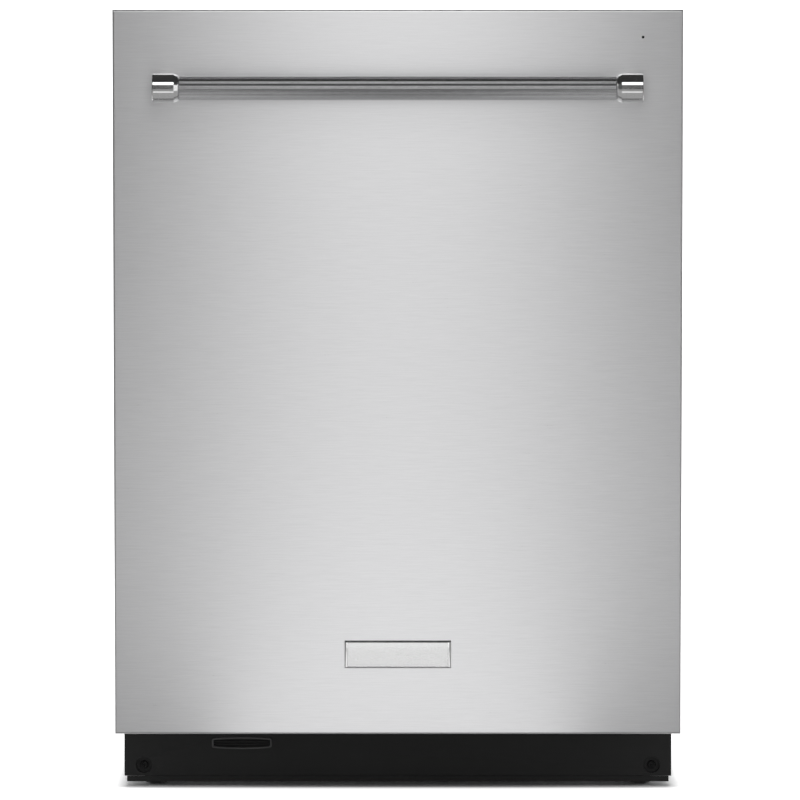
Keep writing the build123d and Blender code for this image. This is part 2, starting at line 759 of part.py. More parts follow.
with BuildPart() as filter_cup:
    with BuildSketch(Plane.XY.offset(cup_bottom)):
        with Locations((0, y_at(cup_depth))):
            Circle(cup_radius)
    extrude(amount=cup_top - cup_bottom)
    with BuildSketch(Plane.XY.offset(cup_bottom + 2)):
        with Locations((0, y_at(cup_depth))):
            RegularPolygon(cup_radius - cup_wall, 20)
    extrude(amount=cup_top - cup_bottom, mode=Mode.SUBTRACT)
    block((cup_wall - cup_radius, cup_radius - cup_wall), (cup_depth - 2, cup_depth + 2),
          (filter_plate - 14, filter_plate + 8))
write(filter_cup.part, "filter_cup")


# Pumps beside the sump: the wash pump's motor with its volute, and the drain pump with its hose outlet.
pump_z = 57.0
pump_x = 96.0
volute_rim = 5.0
wash_pump_radius = 36.0
wash_volute = 26.0
wash_motor = 92.0
drain_pump_radius = 26.0
drain_volute = 20.0
drain_motor = 56.0
drain_outlet_x = -pump_x - drain_volute / 2
drain_outlet_radius = 9.5
drain_outlet_z = pump_z + drain_pump_radius + volute_rim - drain_outlet_radius
hose_stop = 334.0
hose_stop_length = 18.0
drain_outlet_end = 358.0

with BuildPart() as wash_pump:
    with BuildSketch(Plane.YZ.offset(pump_x)):
        with Locations((y_at(sump_depth), pump_z)):
            RegularPolygon(wash_pump_radius + volute_rim, 20)
    extrude(amount=wash_volute)
    with BuildSketch(Plane.YZ.offset(pump_x + wash_volute)):
        with Locations((y_at(sump_depth), pump_z)):
            RegularPolygon(wash_pump_radius, 20)
    extrude(amount=wash_motor)
    block((sump_body_radius + 0.2, pump_x), (sump_depth - 18, sump_depth + 18), (pump_z - 14, pump_z + 14))
write(wash_pump.part, "wash_pump")

with BuildPart() as drain_pump:
    with BuildSketch(Plane.YZ.offset(-pump_x)):
        with Locations((y_at(sump_depth), pump_z)):
            RegularPolygon(drain_pump_radius + volute_rim, 20)
    extrude(amount=-drain_volute)
    with BuildSketch(Plane.YZ.offset(-pump_x - drain_volute)):
        with Locations((y_at(sump_depth), pump_z)):
            RegularPolygon(drain_pump_radius, 20)
    extrude(amount=-drain_motor)
    block((-pump_x, -sump_body_radius - 0.2), (sump_depth - 14, sump_depth + 14), (pump_z - 12, pump_z + 12))
    with BuildSketch(facing_front(hose_stop - hose_stop_length)):
        with Locations((drain_outlet_x, drain_outlet_z)):
            RegularPolygon(drain_outlet_radius + 3, 12)
    extrude(amount=-hose_stop_length)
    with BuildSketch(facing_front(hose_stop)):
        with Locations((drain_outlet_x, drain_outlet_z)):
            Circle(drain_outlet_radius)
    extrude(amount=hose_stop - drain_outlet_end)
    with BuildSketch(facing_front(drain_outlet_end)):
        with Locations((drain_outlet_x, drain_outlet_z)):
            RegularPolygon(drain_outlet_radius - 2, 8)
    extrude(amount=20, mode=Mode.SUBTRACT)
write(drain_pump.part, "drain_pump")


# Water inlet valve and electrical junction box, both screwed inside the base just behind the access panel.
inlet_x, inlet_depth, inlet_z = -208.0, 176.0, 58.0
inlet_radius = 13.2
conduit_radius = 11.1
box_x, box_depth = (150.0, 236.0), (130.0, 216.0)
box_z = (34.0, 88.0)

with BuildPart() as inlet_valve:
    block((inlet_x - 26, inlet_x + 26), (inlet_depth - 20, inlet_depth + 20), (inlet_z - 14, inlet_z + 14))
    block((inlet_x + 4, inlet_x + 22), (inlet_depth - 14, inlet_depth + 14), (inlet_z + 14, inlet_z + 36))
    with BuildSketch(Plane.XY.offset(inlet_z - 14)):
        with Locations((inlet_x - 8, y_at(inlet_depth))):
            Circle(inlet_radius)
            RegularPolygon(inlet_radius - 3, 12, mode=Mode.SUBTRACT)
    extrude(amount=-16)
write(inlet_valve.part, "inlet_valve")

with BuildPart() as junction_box:
    block(box_x, box_depth, box_z)
    offset(amount=-1.2, openings=junction_box.faces().sort_by(Axis.Y)[0], kind=Kind.INTERSECTION)
    with BuildSketch(Plane.XY.offset(box_z[0] - 1)):
        with Locations(((box_x[0] + box_x[1]) / 2, y_at((box_depth[0] + box_depth[1]) / 2))):
            Circle(conduit_radius)
    extrude(amount=4, mode=Mode.SUBTRACT)
write(junction_box.part, "junction_box")


# Spray feed tube: from the sump along the floor, up the rear wall and under the ceiling, with a post for
# the lower arm, a port for the middle arm and a post for the top arm.
feed_width = 40.0
feed_height = 12.0
feed_floor = filter_plate + 0.1 + feed_height / 2
feed_rear = 589.0
feed_ceiling = tub_ceiling - 2.5 - feed_height / 2
feed_start = y_at(wash_depth - 20)
feed_bend = 16.0
port_height = 480.0
post_top = feed_floor + feed_height / 2 + 11
lower_post_radius = 12.0
upper_post_radius = 9.0
port_front = 575.2

with BuildPart() as spray_feed_tube:
    with BuildLine():
        Polyline((0, feed_start, feed_floor), (0, y_at(566), feed_floor), (0, y_at(feed_rear), 147),
                 (0, y_at(feed_rear), feed_ceiling - feed_bend),
                 (0, y_at(feed_rear - feed_bend), feed_ceiling), (0, y_at(wash_depth - 16), feed_ceiling))
    with BuildSketch(Plane(origin=(0, feed_start, feed_floor), x_dir=(1, 0, 0), z_dir=(0, 1, 0))):
        Rectangle(feed_width, feed_height)
    sweep(transition=Transition.RIGHT)
    with BuildSketch(Plane.XY.offset(feed_floor)):
        with Locations((0, y_at(wash_depth))):
            Circle(lower_post_radius)
    extrude(amount=post_top - feed_floor)
    with BuildSketch(Plane.XY.offset(feed_floor)):
        with Locations((0, y_at(wash_depth))):
            RegularPolygon(stub_radius, 12)
    extrude(amount=sump_top - 12 - feed_floor)
    with BuildSketch(Plane.XY.offset(feed_ceiling)):
        with Locations((0, y_at(wash_depth))):
            Circle(upper_post_radius)
    extrude(amount=-26)
    block((-17, 17), (port_front, feed_rear - 4), (port_height - 11, port_height + 11))
write(spray_feed_tube.part, "spray_feed_tube")


# Spray arms: hollow bars that taper from a hub to both tips. Each turns on its own post.
def spray_arm(bottom, height, reach, hub_radius, tip_radius, bore):
    """An arm along X that turns on the wash axis. Its bore is open at the bottom."""
    with BuildPart() as arm:
        with BuildSketch(Plane.XY.offset(bottom)):
            with Locations((0, y_at(wash_depth))):
                RegularPolygon(hub_radius, 16)
            with Locations((tip_radius - reach, y_at(wash_depth)), (reach - tip_radius, y_at(wash_depth))):
                RegularPolygon(tip_radius, 8)
            make_hull()
            with Locations((0, y_at(wash_depth))):
                Circle(bore, mode=Mode.SUBTRACT)
        extrude(amount=height)
    return arm.part


lower_arm_bottom = feed_floor + feed_height / 2 + 3
middle_arm_bottom = port_height - 26
top_arm_bottom = feed_ceiling - 24
arm_height = 9.0
lower_bore = lower_post_radius + 0.08
upper_bore = upper_post_radius + 0.08

write(spray_arm(lower_arm_bottom, arm_height, 228, 26, 15, lower_bore), "lower_spray_arm")
write(spray_arm(middle_arm_bottom, arm_height, 232, 24, 14, upper_bore), "middle_spray_arm")
write(spray_arm(top_arm_bottom, arm_height, 150, 22, 13, upper_bore), "top_spray_arm")


# Manifold under the upper rack: it carries the middle arm and docks with the feed tube's port.
with BuildPart() as middle_manifold:
    block((-15, 15), (wash_depth - 16, port_front - 0.3), (port_height - 6.5, port_height + 6.5))
    with BuildSketch(Plane.XY.offset(port_height)):
        with Locations((0, y_at(wash_depth))):
            Circle(upper_post_radius)
    extrude(amount=middle_arm_bottom - 2 - port_height)
    for depth in (wash_depth + 30, port_front - 40):
        block((-26, 26), (depth, depth + 8), (port_height + 6.4, upper_floor - wire / 2 - wire_gap))
write(middle_manifold.part, "middle_manifold")


# Heating element: a sheathed rod in an open loop just above the floor, under the lower arm.
heater_rod = 7.5
heater_z = floor_height + 6.0
heater_half_width = 165.0
heater_bend = 30.0
heater_low, heater_high = y_at(165), y_at(520)
heater_side = [
    (heater_half_width - heater_bend, heater_low),
    (heater_half_width, heater_low + heater_bend),
    (heater_half_width, heater_high - heater_bend),
    (heater_half_width - heater_bend, heater_high),
    (52, heater_high),
]

with BuildPart() as heating_element:
    right = [(x, y, heater_z) for x, y in heater_side] + [(52, heater_high, floor_height + 0.3)]
    left = [(-x, y, z) for x, y, z in reversed(right)]
    add(bent_wire(left + right, heater_rod))
write(heating_element.part, "heating_element")


# Float: a hollow dome in the tub's front corner. Its stem passes through the floor to the overfill switch.
float_radius = 27.0

with BuildPart() as float_dome:
    with BuildSketch(Plane.XY.offset(floor_height + 0.4)):
        with Locations((float_x, y_at(float_depth))):
            RegularPolygon(float_radius, 20)
    extrude(amount=24, taper=6)
    with BuildSketch(Plane.XY.offset(floor_height + 0.4)):
        with Locations((float_x, y_at(float_depth))):
            RegularPolygon(float_radius - 2, 20)
    extrude(amount=22, taper=6, mode=Mode.SUBTRACT)
    with BuildSketch(Plane.XY.offset(floor_height + 23)):
        with Locations((float_x, y_at(float_depth))):
            RegularPolygon(float_stem, 8)
    extrude(amount=-38)
write(float_dome.part, "float_dome")


# Racks: coated steel wire, bent up into a basket. The lengthwise wires lie under the cross wires.
def wire_loop(half_width, front_depth, rear_depth, z):
    """A rack's band or rim, butted together in the middle of the rear."""
    low, high, corner = y_at(front_depth), y_at(rear_depth), 22
    return bent_wire([(0.1, high, z), (half_width - corner, high, z), (half_width, high - corner, z),
                      (half_width, low + corner, z), (half_width - corner, low, z),
                      (corner - half_width, low, z), (-half_width, low + corner, z),
                      (-half_width, high - corner, z), (corner - half_width, high, z), (-0.1, high, z)])


def wire_basket(floor, rim, band):
    """The wires of a rack's floor and sides, with a band and a rim round them, as one group of solids."""
    bend = 14
    cross = floor + wire + wire_gap
    top = rim - wire / 2 - wire_gap
    inset = wire + wire_gap
    low, high = y_at(rack_front), y_at(rack_rear)
    with BuildPart() as basket:
        for depth in evenly(rack_front + 30, rack_rear - 30, cross_wires):
            y = y_at(depth)
            add(bent_wire([(-rack_half_width, y, top), (-rack_half_width, y, cross + bend),
                           (bend - rack_half_width, y, cross), (rack_half_width - bend, y, cross),
                           (rack_half_width, y, cross + bend), (rack_half_width, y, top)]))
        for x in evenly(-lengthwise_reach, lengthwise_reach, lengthwise_wires):
            add(bent_wire([(x, low, top), (x, low, floor + bend), (x, low + bend, floor),
                           (x, high - bend, floor), (x, high, floor + bend), (x, high, top)]))
        add(wire_loop(rack_half_width, rack_front, rack_rear, rim))
        add(wire_loop(rack_half_width - inset, rack_front + inset, rack_rear - inset, band))
    return basket.part


def hairpins(rows, first, last, base, height):
    """Tines in pairs, each pair one wire bent like a hairpin, in rows that run from front to rear."""
    spread = 36
    top = base + height
    with BuildPart() as pins:
        for x in rows:
            for depth in evenly(first, last, pins_per_row):
                low, high = y_at(depth - spread / 2), y_at(depth + spread / 2)
                add(bent_wire([(x, low, top), (x, low, base), (x, high, base), (x, high, top)]))
    return pins.part


cross_wires = 10
lengthwise_wires = 5
lengthwise_reach = 196.0
pins_per_row = 5
first_pins, last_pins = 126.0, 530.0
lower_pin_height, upper_pin_height = 88.0, 52.0
lower_cross = lower_floor + wire + wire_gap
upper_cross = upper_floor + wire + wire_gap
lower_rows = (-190.0, -85.0, 20.0)
upper_rows = (-120.0, 10.0)
upper_band = 560.0

with BuildPart() as lower_rack:
    add(wire_basket(lower_floor, lower_rim, 225.0))
    axle_end = wheel_inner_face + wheel_width + 1.5
    for depth in axle_depths:
        y = y_at(depth)
        add(bent_wire([(-axle_end, y, axle_height), (axle_end, y, axle_height)], axle_wire))
write(lower_rack.part, "lower_rack")
lower_pin_base = lower_cross + wire + wire_gap
write(hairpins(lower_rows, first_pins, last_pins, lower_pin_base, lower_pin_height), "lower_rack_tines")

for number, depth in enumerate(axle_depths, start=1):
    with BuildPart() as wheels:
        with BuildSketch(Plane.YZ.offset(wheel_inner_face)):
            with Locations((y_at(depth), axle_height)):
                Circle(wheel_radius)
                RegularPolygon(axle_wire / 2 + 0.4, 8, mode=Mode.SUBTRACT)
        extrude(amount=wheel_width)
        mirror(about=Plane.YZ)
    write(wheels.part, f"rack_wheels_{number}")

with BuildPart() as upper_rack:
    add(wire_basket(upper_floor, upper_rim, upper_band))
write(upper_rack.part, "upper_rack")
upper_pin_base = upper_cross + wire + wire_gap
write(hairpins(upper_rows, first_pins, last_pins, upper_pin_base, upper_pin_height), "upper_rack_tines")


# Silverware basket: a moulded tray with slotted sides. A centre wall with the carrying grip and three pairs
# of cross walls are clipped into it, and divide it into eight cells.
basket_x = (126.0, 227.0)
basket_depth = (112.0, 544.0)
basket_floor = lower_cross + wire / 2 + 0.2
basket_top = basket_floor + 118
basket_wall = 2.2
slot_count = 8
slot_size = (34.0, 84.0)
basket_middle = (basket_x[0] + basket_x[1]) / 2
divider_bottom = basket_floor + basket_wall + 0.1
divider_inset = basket_wall + 0.1
grip_top = basket_top + 46

with BuildPart() as silverware_basket:
    block(basket_x, basket_depth, (basket_floor, basket_top))
    rim_face = silverware_basket.faces().sort_by(Axis.Z)[-1]
    offset(amount=-basket_wall, openings=rim_face, kind=Kind.INTERSECTION)
    slot_depths = evenly(basket_depth[0] + 26, basket_depth[1] - 26, slot_count)
    with BuildSketch(Plane.YZ.offset(basket_x[0] - 1)):
        with Locations(*[(y_at(depth), basket_floor + 60) for depth in slot_depths]):
            Rectangle(*slot_size)
    extrude(amount=basket_x[1] - basket_x[0] + 2, mode=Mode.SUBTRACT)
write(silverware_basket.part, "silverware_basket")

with BuildPart() as basket_dividers:
    low, high = y_at(basket_depth[0] + divider_inset), y_at(basket_depth[1] - divider_inset)
    with BuildSketch(Plane.YZ.offset(basket_middle - 1.5)):
        with BuildLine():
            Polyline((low, divider_bottom), (low, basket_top), (y_at(250), grip_top), (y_at(406), grip_top),
                     (high, basket_top), (high, divider_bottom), close=True)
        make_face()
        with Locations((y_at(sum(basket_depth) / 2), grip_top - 22)):
            SlotOverall(110, 24, mode=Mode.SUBTRACT)
    extrude(amount=3)
    for depth in evenly(basket_depth[0], basket_depth[1], 5)[1:-1]:
        block((basket_x[0] + divider_inset, basket_middle - 1.6), (depth - 1, depth + 1),
              (divider_bottom, basket_top - 6))
        block((basket_middle + 1.6, basket_x[1] - divider_inset), (depth - 1, depth + 1),
              (divider_bottom, basket_top - 6))
write(basket_dividers.part, "basket_dividers")


# Cup shelf: a moulded flap with slots. Its hooks turn on the upper rack's band wire.
shelf_depth = (192.0, 392.0)
shelf_reach = 96.0
shelf_pivot = rack_half_width - wire - wire_gap
hook_radius = 5.0
hook_width = 10.0

with BuildPart() as cup_shelf:
    block((shelf_pivot - shelf_reach, shelf_pivot - hook_radius + 1), shelf_depth,
          (upper_band - 1.3, upper_band + 1.3))
    for depth in evenly(shelf_depth[0] + 30, shelf_depth[1] - 30, 6):
        block((shelf_pivot - shelf_reach + 8, shelf_pivot - 16), (depth - 11, depth + 11),
              (upper_band - 3, upper_band + 3), Mode.SUBTRACT)
    for depth in (shelf_depth[0], shelf_depth[1] - hook_width):
        with BuildSketch(facing_front(depth)):
            with Locations((shelf_pivot, upper_band)):
                Circle(hook_radius)
                RegularPolygon(wire / 2 + 0.4, 8, mode=Mode.SUBTRACT)
            with Locations((shelf_pivot + hook_radius, upper_band)):
                Rectangle(2 * hook_radius, wire, mode=Mode.SUBTRACT)
        extrude(amount=-hook_width)
write(cup_shelf.part, "cup_shelf")


# Upper rack slides: a channel on each side wall, a smaller channel that runs in it at half the rack's speed,
# and rollers on the rack that run in the smaller one.
slide_z = 584.0
slide_sheet = 1.4
channel_height = 26.0
slide_gap = 0.5


def channel(inner_x, outer_x, height, depths):
    """A pair of C-shaped channels that open towards the rack."""
    half = height / 2
    with BuildPart() as pair:
        with BuildSketch(facing_front(depths[0])):
            with BuildLine():
                Polyline((inner_x, slide_z + half), (outer_x, slide_z + half), (outer_x, slide_z - half),
                         (inner_x, slide_z - half), (inner_x, slide_z - half + slide_sheet),
                         (outer_x - slide_sheet, slide_z - half + slide_sheet),
                         (outer_x - slide_sheet, slide_z + half - slide_sheet),
                         (inner_x, slide_z + half - slide_sheet), close=True)
            make_face()
        extrude(amount=depths[0] - depths[1])
        mirror(about=Plane.YZ)
    return pair.part


slide_height = channel_height - 2 * (slide_sheet + slide_gap)
channel_outer = tub_half_width - 0.2
slide_outer = channel_outer - slide_sheet - slide_gap
write(channel(265, channel_outer, channel_height, (72, 580)), "upper_rail_channels")
write(channel(259, slide_outer, slide_height, (84, 572)), "upper_rail_slides")

roller_depths = (146.0, 500.0)
roller_plate_x = (rack_half_width + wire / 2 + wire_gap, 250.0)
roller_radius = slide_height / 2 - slide_sheet - slide_gap
roller_inner_face = 259.0
roller_width = 11.0
spindle_radius = 3.5

with BuildPart() as upper_rack_rollers:
    for depth in roller_depths:
        block(roller_plate_x, (depth - 30, depth + 30), (slide_z - 14, slide_z + 14))
        with BuildSketch(Plane.YZ.offset(roller_plate_x[1] - 1)):
            with Locations((y_at(depth), slide_z)):
                RegularPolygon(spindle_radius, 6)
        extrude(amount=roller_inner_face - roller_plate_x[1] + 1)
        with BuildSketch(Plane.YZ.offset(roller_inner_face)):
            with Locations((y_at(depth), slide_z)):
                RegularPolygon(roller_radius, 12)
        extrude(amount=roller_width)
    mirror(about=Plane.YZ)
write(upper_rack_rollers.part, "upper_rack_rollers")

print(len(written), "pieces")
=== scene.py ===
import bpy
import bmesh
import json
import math
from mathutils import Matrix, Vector, noise

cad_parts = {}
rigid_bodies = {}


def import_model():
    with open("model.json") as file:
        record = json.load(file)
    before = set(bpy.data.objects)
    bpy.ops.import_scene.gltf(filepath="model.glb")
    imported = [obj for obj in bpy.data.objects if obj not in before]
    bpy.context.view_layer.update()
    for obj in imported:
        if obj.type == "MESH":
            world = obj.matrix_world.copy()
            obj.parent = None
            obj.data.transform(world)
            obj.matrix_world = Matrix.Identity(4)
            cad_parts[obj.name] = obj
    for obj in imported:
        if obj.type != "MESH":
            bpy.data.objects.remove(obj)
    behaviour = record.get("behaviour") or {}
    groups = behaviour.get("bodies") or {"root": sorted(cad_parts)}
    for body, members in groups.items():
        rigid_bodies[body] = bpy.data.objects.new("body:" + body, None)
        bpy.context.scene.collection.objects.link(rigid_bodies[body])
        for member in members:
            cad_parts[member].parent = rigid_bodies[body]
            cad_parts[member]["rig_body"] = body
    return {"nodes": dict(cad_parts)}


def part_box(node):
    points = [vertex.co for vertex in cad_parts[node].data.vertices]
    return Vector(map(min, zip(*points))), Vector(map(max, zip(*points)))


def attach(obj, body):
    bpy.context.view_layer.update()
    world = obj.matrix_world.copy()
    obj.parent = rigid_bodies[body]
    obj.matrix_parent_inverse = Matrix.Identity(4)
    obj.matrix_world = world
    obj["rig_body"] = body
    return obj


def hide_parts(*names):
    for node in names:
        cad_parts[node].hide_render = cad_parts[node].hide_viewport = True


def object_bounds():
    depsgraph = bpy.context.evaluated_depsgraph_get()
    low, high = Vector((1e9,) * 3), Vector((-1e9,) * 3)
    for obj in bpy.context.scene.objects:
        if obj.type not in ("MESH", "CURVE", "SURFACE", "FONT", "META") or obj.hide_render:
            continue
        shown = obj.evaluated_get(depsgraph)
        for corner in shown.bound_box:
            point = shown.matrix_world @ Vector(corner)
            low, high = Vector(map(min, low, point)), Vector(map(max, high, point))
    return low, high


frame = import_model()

cad_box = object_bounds()
nodes = frame["nodes"]
mm = 0.001


# Studio: a long lens, six metres in front of the door and a little above its top edge, as in the photograph.
# The floor and the room are white, also where the metal mirrors them. Grey flags stand round a gap in front of
# the door, so that the steel darkens towards its edges, and a dark one overhead gives the handle its dark tops.
def paint(code):
    """An sRGB hex colour as linear red, green, blue and alpha."""
    parts = [int(code[i:i + 2], 16) / 255 for i in (1, 3, 5)]
    return [c / 12.92 if c <= 0.04045 else ((c + 0.055) / 1.055) ** 2.4 for c in parts] + [1.0]


def add(tree, kind, feeds=(), **settings):
    """Adds one node. feeds holds its inputs: each a value, or the output that it is linked to."""
    made = tree.nodes.new(kind)
    for name, value in settings.items():
        setattr(made, name, value)
    for name, value in dict(feeds).items():
        if isinstance(value, bpy.types.NodeSocket):
            tree.links.new(value, made.inputs[name])
        else:
            made.inputs[name].default_value = value
    return made


def empty_tree(name):
    """A new material whose node tree holds nothing yet."""
    material = bpy.data.materials.new(name)
    material.use_nodes = True
    material.node_tree.nodes.clear()
    return material, material.node_tree


def behind(depth):
    """The Y in metres of a place that lies this many millimetres behind the door's front face."""
    return door_front + depth * mm


scene = bpy.context.scene
scene.view_settings.view_transform = "Standard"

handle_reach, kick_depth = 52.0 + 15.6, 104.0
door_front = cad_box[0][1] + handle_reach * mm
focal_pixels, image_pixels, pitch = 5711.2, 800, 4.41
camera_data = bpy.data.cameras.new("camera")
camera_data.sensor_width = 36.0
camera_data.lens = focal_pixels / image_pixels * camera_data.sensor_width
camera_data.clip_end = 60.0
camera = bpy.data.objects.new("camera", camera_data)
camera.location = (0.00234, door_front - 6.072, 0.8981)
camera.rotation_euler = (math.radians(90 - pitch), 0, 0)
scene.collection.objects.link(camera)
scene.camera = camera

world = bpy.data.worlds.new("studio")
world.use_nodes = True
tree = world.node_tree
tree.nodes.clear()
rays = add(tree, "ShaderNodeLightPath")
seen = add(tree, "ShaderNodeMath", {
    0: rays.outputs["Is Camera Ray"], 1: rays.outputs["Is Glossy Ray"]}, operation="MAXIMUM")
seen = add(tree, "ShaderNodeMath", {
    0: seen.outputs[0], 1: rays.outputs["Is Transmission Ray"]}, operation="MAXIMUM")
room = add(tree, "ShaderNodeBackground", {"Color": paint("#b4b4b4"), "Strength": 1.0})
wall = add(tree, "ShaderNodeBackground", {"Color": paint("#ffffff"), "Strength": 1.55})
pick = add(tree, "ShaderNodeMixShader", {0: seen.outputs[0], 1: room.outputs[0], 2: wall.outputs[0]})
add(tree, "ShaderNodeOutputWorld", {"Surface": pick.outputs[0]})
scene.world = world

# The floor holds the object's shadow close to its foot, and is lifted to plain white beyond that.
board, tree = empty_tree("matt_white_floor")
rays = add(tree, "ShaderNodeLightPath")
place = add(tree, "ShaderNodeTexCoord").outputs["Object"]
foot_near, foot_far, foot_half = behind(kick_depth), cad_box[1][1], 0.29
shadow_start, shadow_end = 0.004, 0.026
foot_middle, foot_reach = (0, (foot_near + foot_far) / 2, 0), (foot_half, (foot_far - foot_near) / 2, 0)
apart = add(tree, "ShaderNodeVectorMath", {0: place, 1: foot_middle}, operation="SUBTRACT")
apart = add(tree, "ShaderNodeVectorMath", {0: apart.outputs[0]}, operation="ABSOLUTE")
apart = add(tree, "ShaderNodeVectorMath", {0: apart.outputs[0], 1: foot_reach}, operation="SUBTRACT")
apart = add(tree, "ShaderNodeVectorMath", {0: apart.outputs[0], 1: (0, 0, 0)}, operation="MAXIMUM")
apart = add(tree, "ShaderNodeVectorMath", {0: apart.outputs[0]}, operation="LENGTH")
clean = add(tree, "ShaderNodeMapRange", {
    "Value": apart.outputs["Value"], "From Min": shadow_start, "From Max": shadow_end})
clean = add(tree, "ShaderNodeMath", {
    0: clean.outputs[0], 1: rays.outputs["Is Camera Ray"]}, operation="MULTIPLY")
near = add(tree, "ShaderNodeVectorMath", {0: place}, operation="LENGTH")
glow = add(tree, "ShaderNodeMapRange", {
    "Value": near.outputs["Value"], "From Min": 0.45, "From Max": 2.2, "To Min": 0.12, "To Max": 0.40})
seen = add(tree, "ShaderNodeMath", {
    0: rays.outputs["Is Glossy Ray"], 1: rays.outputs["Is Transmission Ray"]}, operation="MAXIMUM")
glow = add(tree, "ShaderNodeMath", {
    0: seen.outputs[0], 1: glow.outputs[0], 2: clean.outputs[0]}, operation="MULTIPLY_ADD")
matt = add(tree, "ShaderNodeBsdfDiffuse", {"Color": paint("#f4f4f4")})
lift = add(tree, "ShaderNodeEmission", {"Color": paint("#ffffff"), "Strength": glow.outputs[0]})
both = add(tree, "ShaderNodeAddShader", {0: matt.outputs[0], 1: lift.outputs[0]})
add(tree, "ShaderNodeOutputMaterial", {"Surface": both.outputs[0]})


def card(name, corners, material):
    """A flat sheet of the studio, which isn't part of the object."""
    mesh = bpy.data.meshes.new(name)
    mesh.from_pydata(corners, [], [(0, 1, 2, 3)])
    mesh.materials.append(material)
    sheet = bpy.data.objects.new(name, mesh)
    scene.collection.objects.link(sheet)
    return sheet


def flag(name, corners, colour):
    """A sheet of even tone that only the metal mirrors. It neither shows nor takes light from the object."""
    cloth, tree = empty_tree(name + "_cloth")
    add(tree, "ShaderNodeOutputMaterial", {
        "Surface": add(tree, "ShaderNodeEmission", {"Color": paint(colour)}).outputs[0]})
    sheet = card(name, corners, cloth)
    sheet.visible_camera = sheet.visible_diffuse = sheet.visible_shadow = False


def level(half, start, stop, z):
    """The corners of a sheet that lies flat, across the middle."""
    return [(-half, start, z), (half, start, z), (half, stop, z), (-half, stop, z)]


def upright(a, b, low, high):
    """The corners of a sheet that stands on the line from a to b."""
    return [(*a, low), (*b, low), (*b, high), (*a, high)]


card("floor", level(30, -30, 30, 0), board)
flag("ceiling_flag", level(1.6, -1.02, 1.0, 1.55), "#303030")
flag("floor_stripe", level(0.4, -2.0, -1.5, 0.012), "#ffffff")
flag("right_card", upright((1.46, -1.77), (1.74, -1.65), 0.1, 1.7), "#ffffff")
flag("near_gap_flag", level(0.2, -0.62, -0.36, 0.008), "#f0f0f0")
flag("dark_gap_flag", level(1.0, -0.36, -0.285, 0.008), "#202020")
flag_end, flag_top, flag_split, flag_back, flag_front = 1.9, 2.4, 0.56, -2.3, -1.6
for side, word in ((-1, "left"), (1, "right")):
    near, far, end = side * 0.19, side * 0.25, side * flag_end
    for part, low, high, tone in (
            ("upper", flag_split, flag_top, "#585858"), ("lower", 0.0, flag_split, "#949494")):
        flag(f"{word}_{part}_flag", upright((far, flag_back), (end, flag_front), low, high), tone)
    flag(word + "_side_flag", upright((end, flag_front), (end, 1.2), 0, flag_top), "#505050")
    for part, start, stop, tone in (("far", flag_back, -1.5, "#b0b0b0"), ("near", -1.5, -0.36, "#a0a0a0")):
        flag(f"{word}_{part}_floor_flag", [
            (far, start, 0.01), (end, start, 0.01), (end, stop, 0.01), (near, stop, 0.01)], tone)

for name, size, place, target, power in (
        ("front_softbox", (2.2, 0.5), (0.0, -1.75, 1.75), (0.0, -0.3, 0.7), 4.6),
        ("left_softbox", (1.4, 2.0), (-3.2, -1.2, 1.9), (0.0, 0.0, 0.4), 18.0),
        ("right_softbox", (1.4, 2.0), (3.2, -1.2, 1.9), (0.0, 0.0, 0.4), 18.0),
        ("top_softbox", (2.4, 2.0), (0.0, 0.2, 3.0), (0.0, 0.0, 0.4), 30.0)):
    lamp = bpy.data.lights.new(name, "AREA")
    lamp.shape = "RECTANGLE"
    lamp.size, lamp.size_y = size
    lamp.energy = power
    light = bpy.data.objects.new(name, lamp)
    light.location = place
    light.rotation_euler = (Vector(target) - Vector(place)).to_track_quat("-Z", "Y").to_euler()
    light.visible_camera = False
    scene.collection.objects.link(light)


# Door outer panel: one sheet of type 304 stainless steel, brushed from side to side with a fine belt, and
# folded back at its edges. The brushing shows as short level scratches that spread the light up and down.
def vary(tree, factor, colour, roughness, shade):
    """A colour and a roughness that follow a texture's factor, a little to each side of their values."""
    dark, light = [[min(1.0, c * (1 + way * shade)) for c in paint(colour)[:3]] + [1.0] for way in (-1, 1)]
    tone = add(tree, "ShaderNodeMix", {0: factor, 6: dark, 7: light}, data_type="RGBA")
    rough = add(tree, "ShaderNodeMapRange", {
        "Value": factor, "To Min": roughness - 0.05, "To Max": roughness + 0.05})
    return {"Base Color": tone.outputs[2], "Roughness": rough.outputs[0]}


def metal(name, colour, roughness, grain, depth, shade=0.06, **shader):
    """A brushed or ground metal. grain is the length of its scratches along X, Y and Z, in millimetres."""
    material, tree = empty_tree(name)
    place = add(tree, "ShaderNodeTexCoord").outputs["Object"]
    scaled = add(tree, "ShaderNodeMapping", {"Vector": place, "Scale": [1000.0 / g for g in grain]})
    scratches = add(tree, "ShaderNodeTexNoise", {
        "Vector": scaled.outputs[0], "Scale": 1.0, "Detail": 3.0, "Roughness": 0.7}).outputs["Fac"]
    bump = add(tree, "ShaderNodeBump", {"Height": scratches, "Strength": 0.25, "Distance": depth * mm})
    round_z = add(tree, "ShaderNodeTangent", direction_type="RADIAL", axis="Z")
    body = add(tree, "ShaderNodeBsdfPrincipled", {
        **vary(tree, scratches, colour, roughness, shade), "Metallic": 1.0, "Normal": bump.outputs[0],
        "Tangent": round_z.outputs[0], **{key.replace("_", " "): value for key, value in shader.items()}})
    add(tree, "ShaderNodeOutputMaterial", {"Surface": body.outputs[0]})
    return material


def enrol(piece, body, stands_for):
    """Hides the CAD nodes that a finished piece stands for, and puts the piece on its body."""
    if stands_for:
        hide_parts(*stands_for)
    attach(piece, body)
    return piece


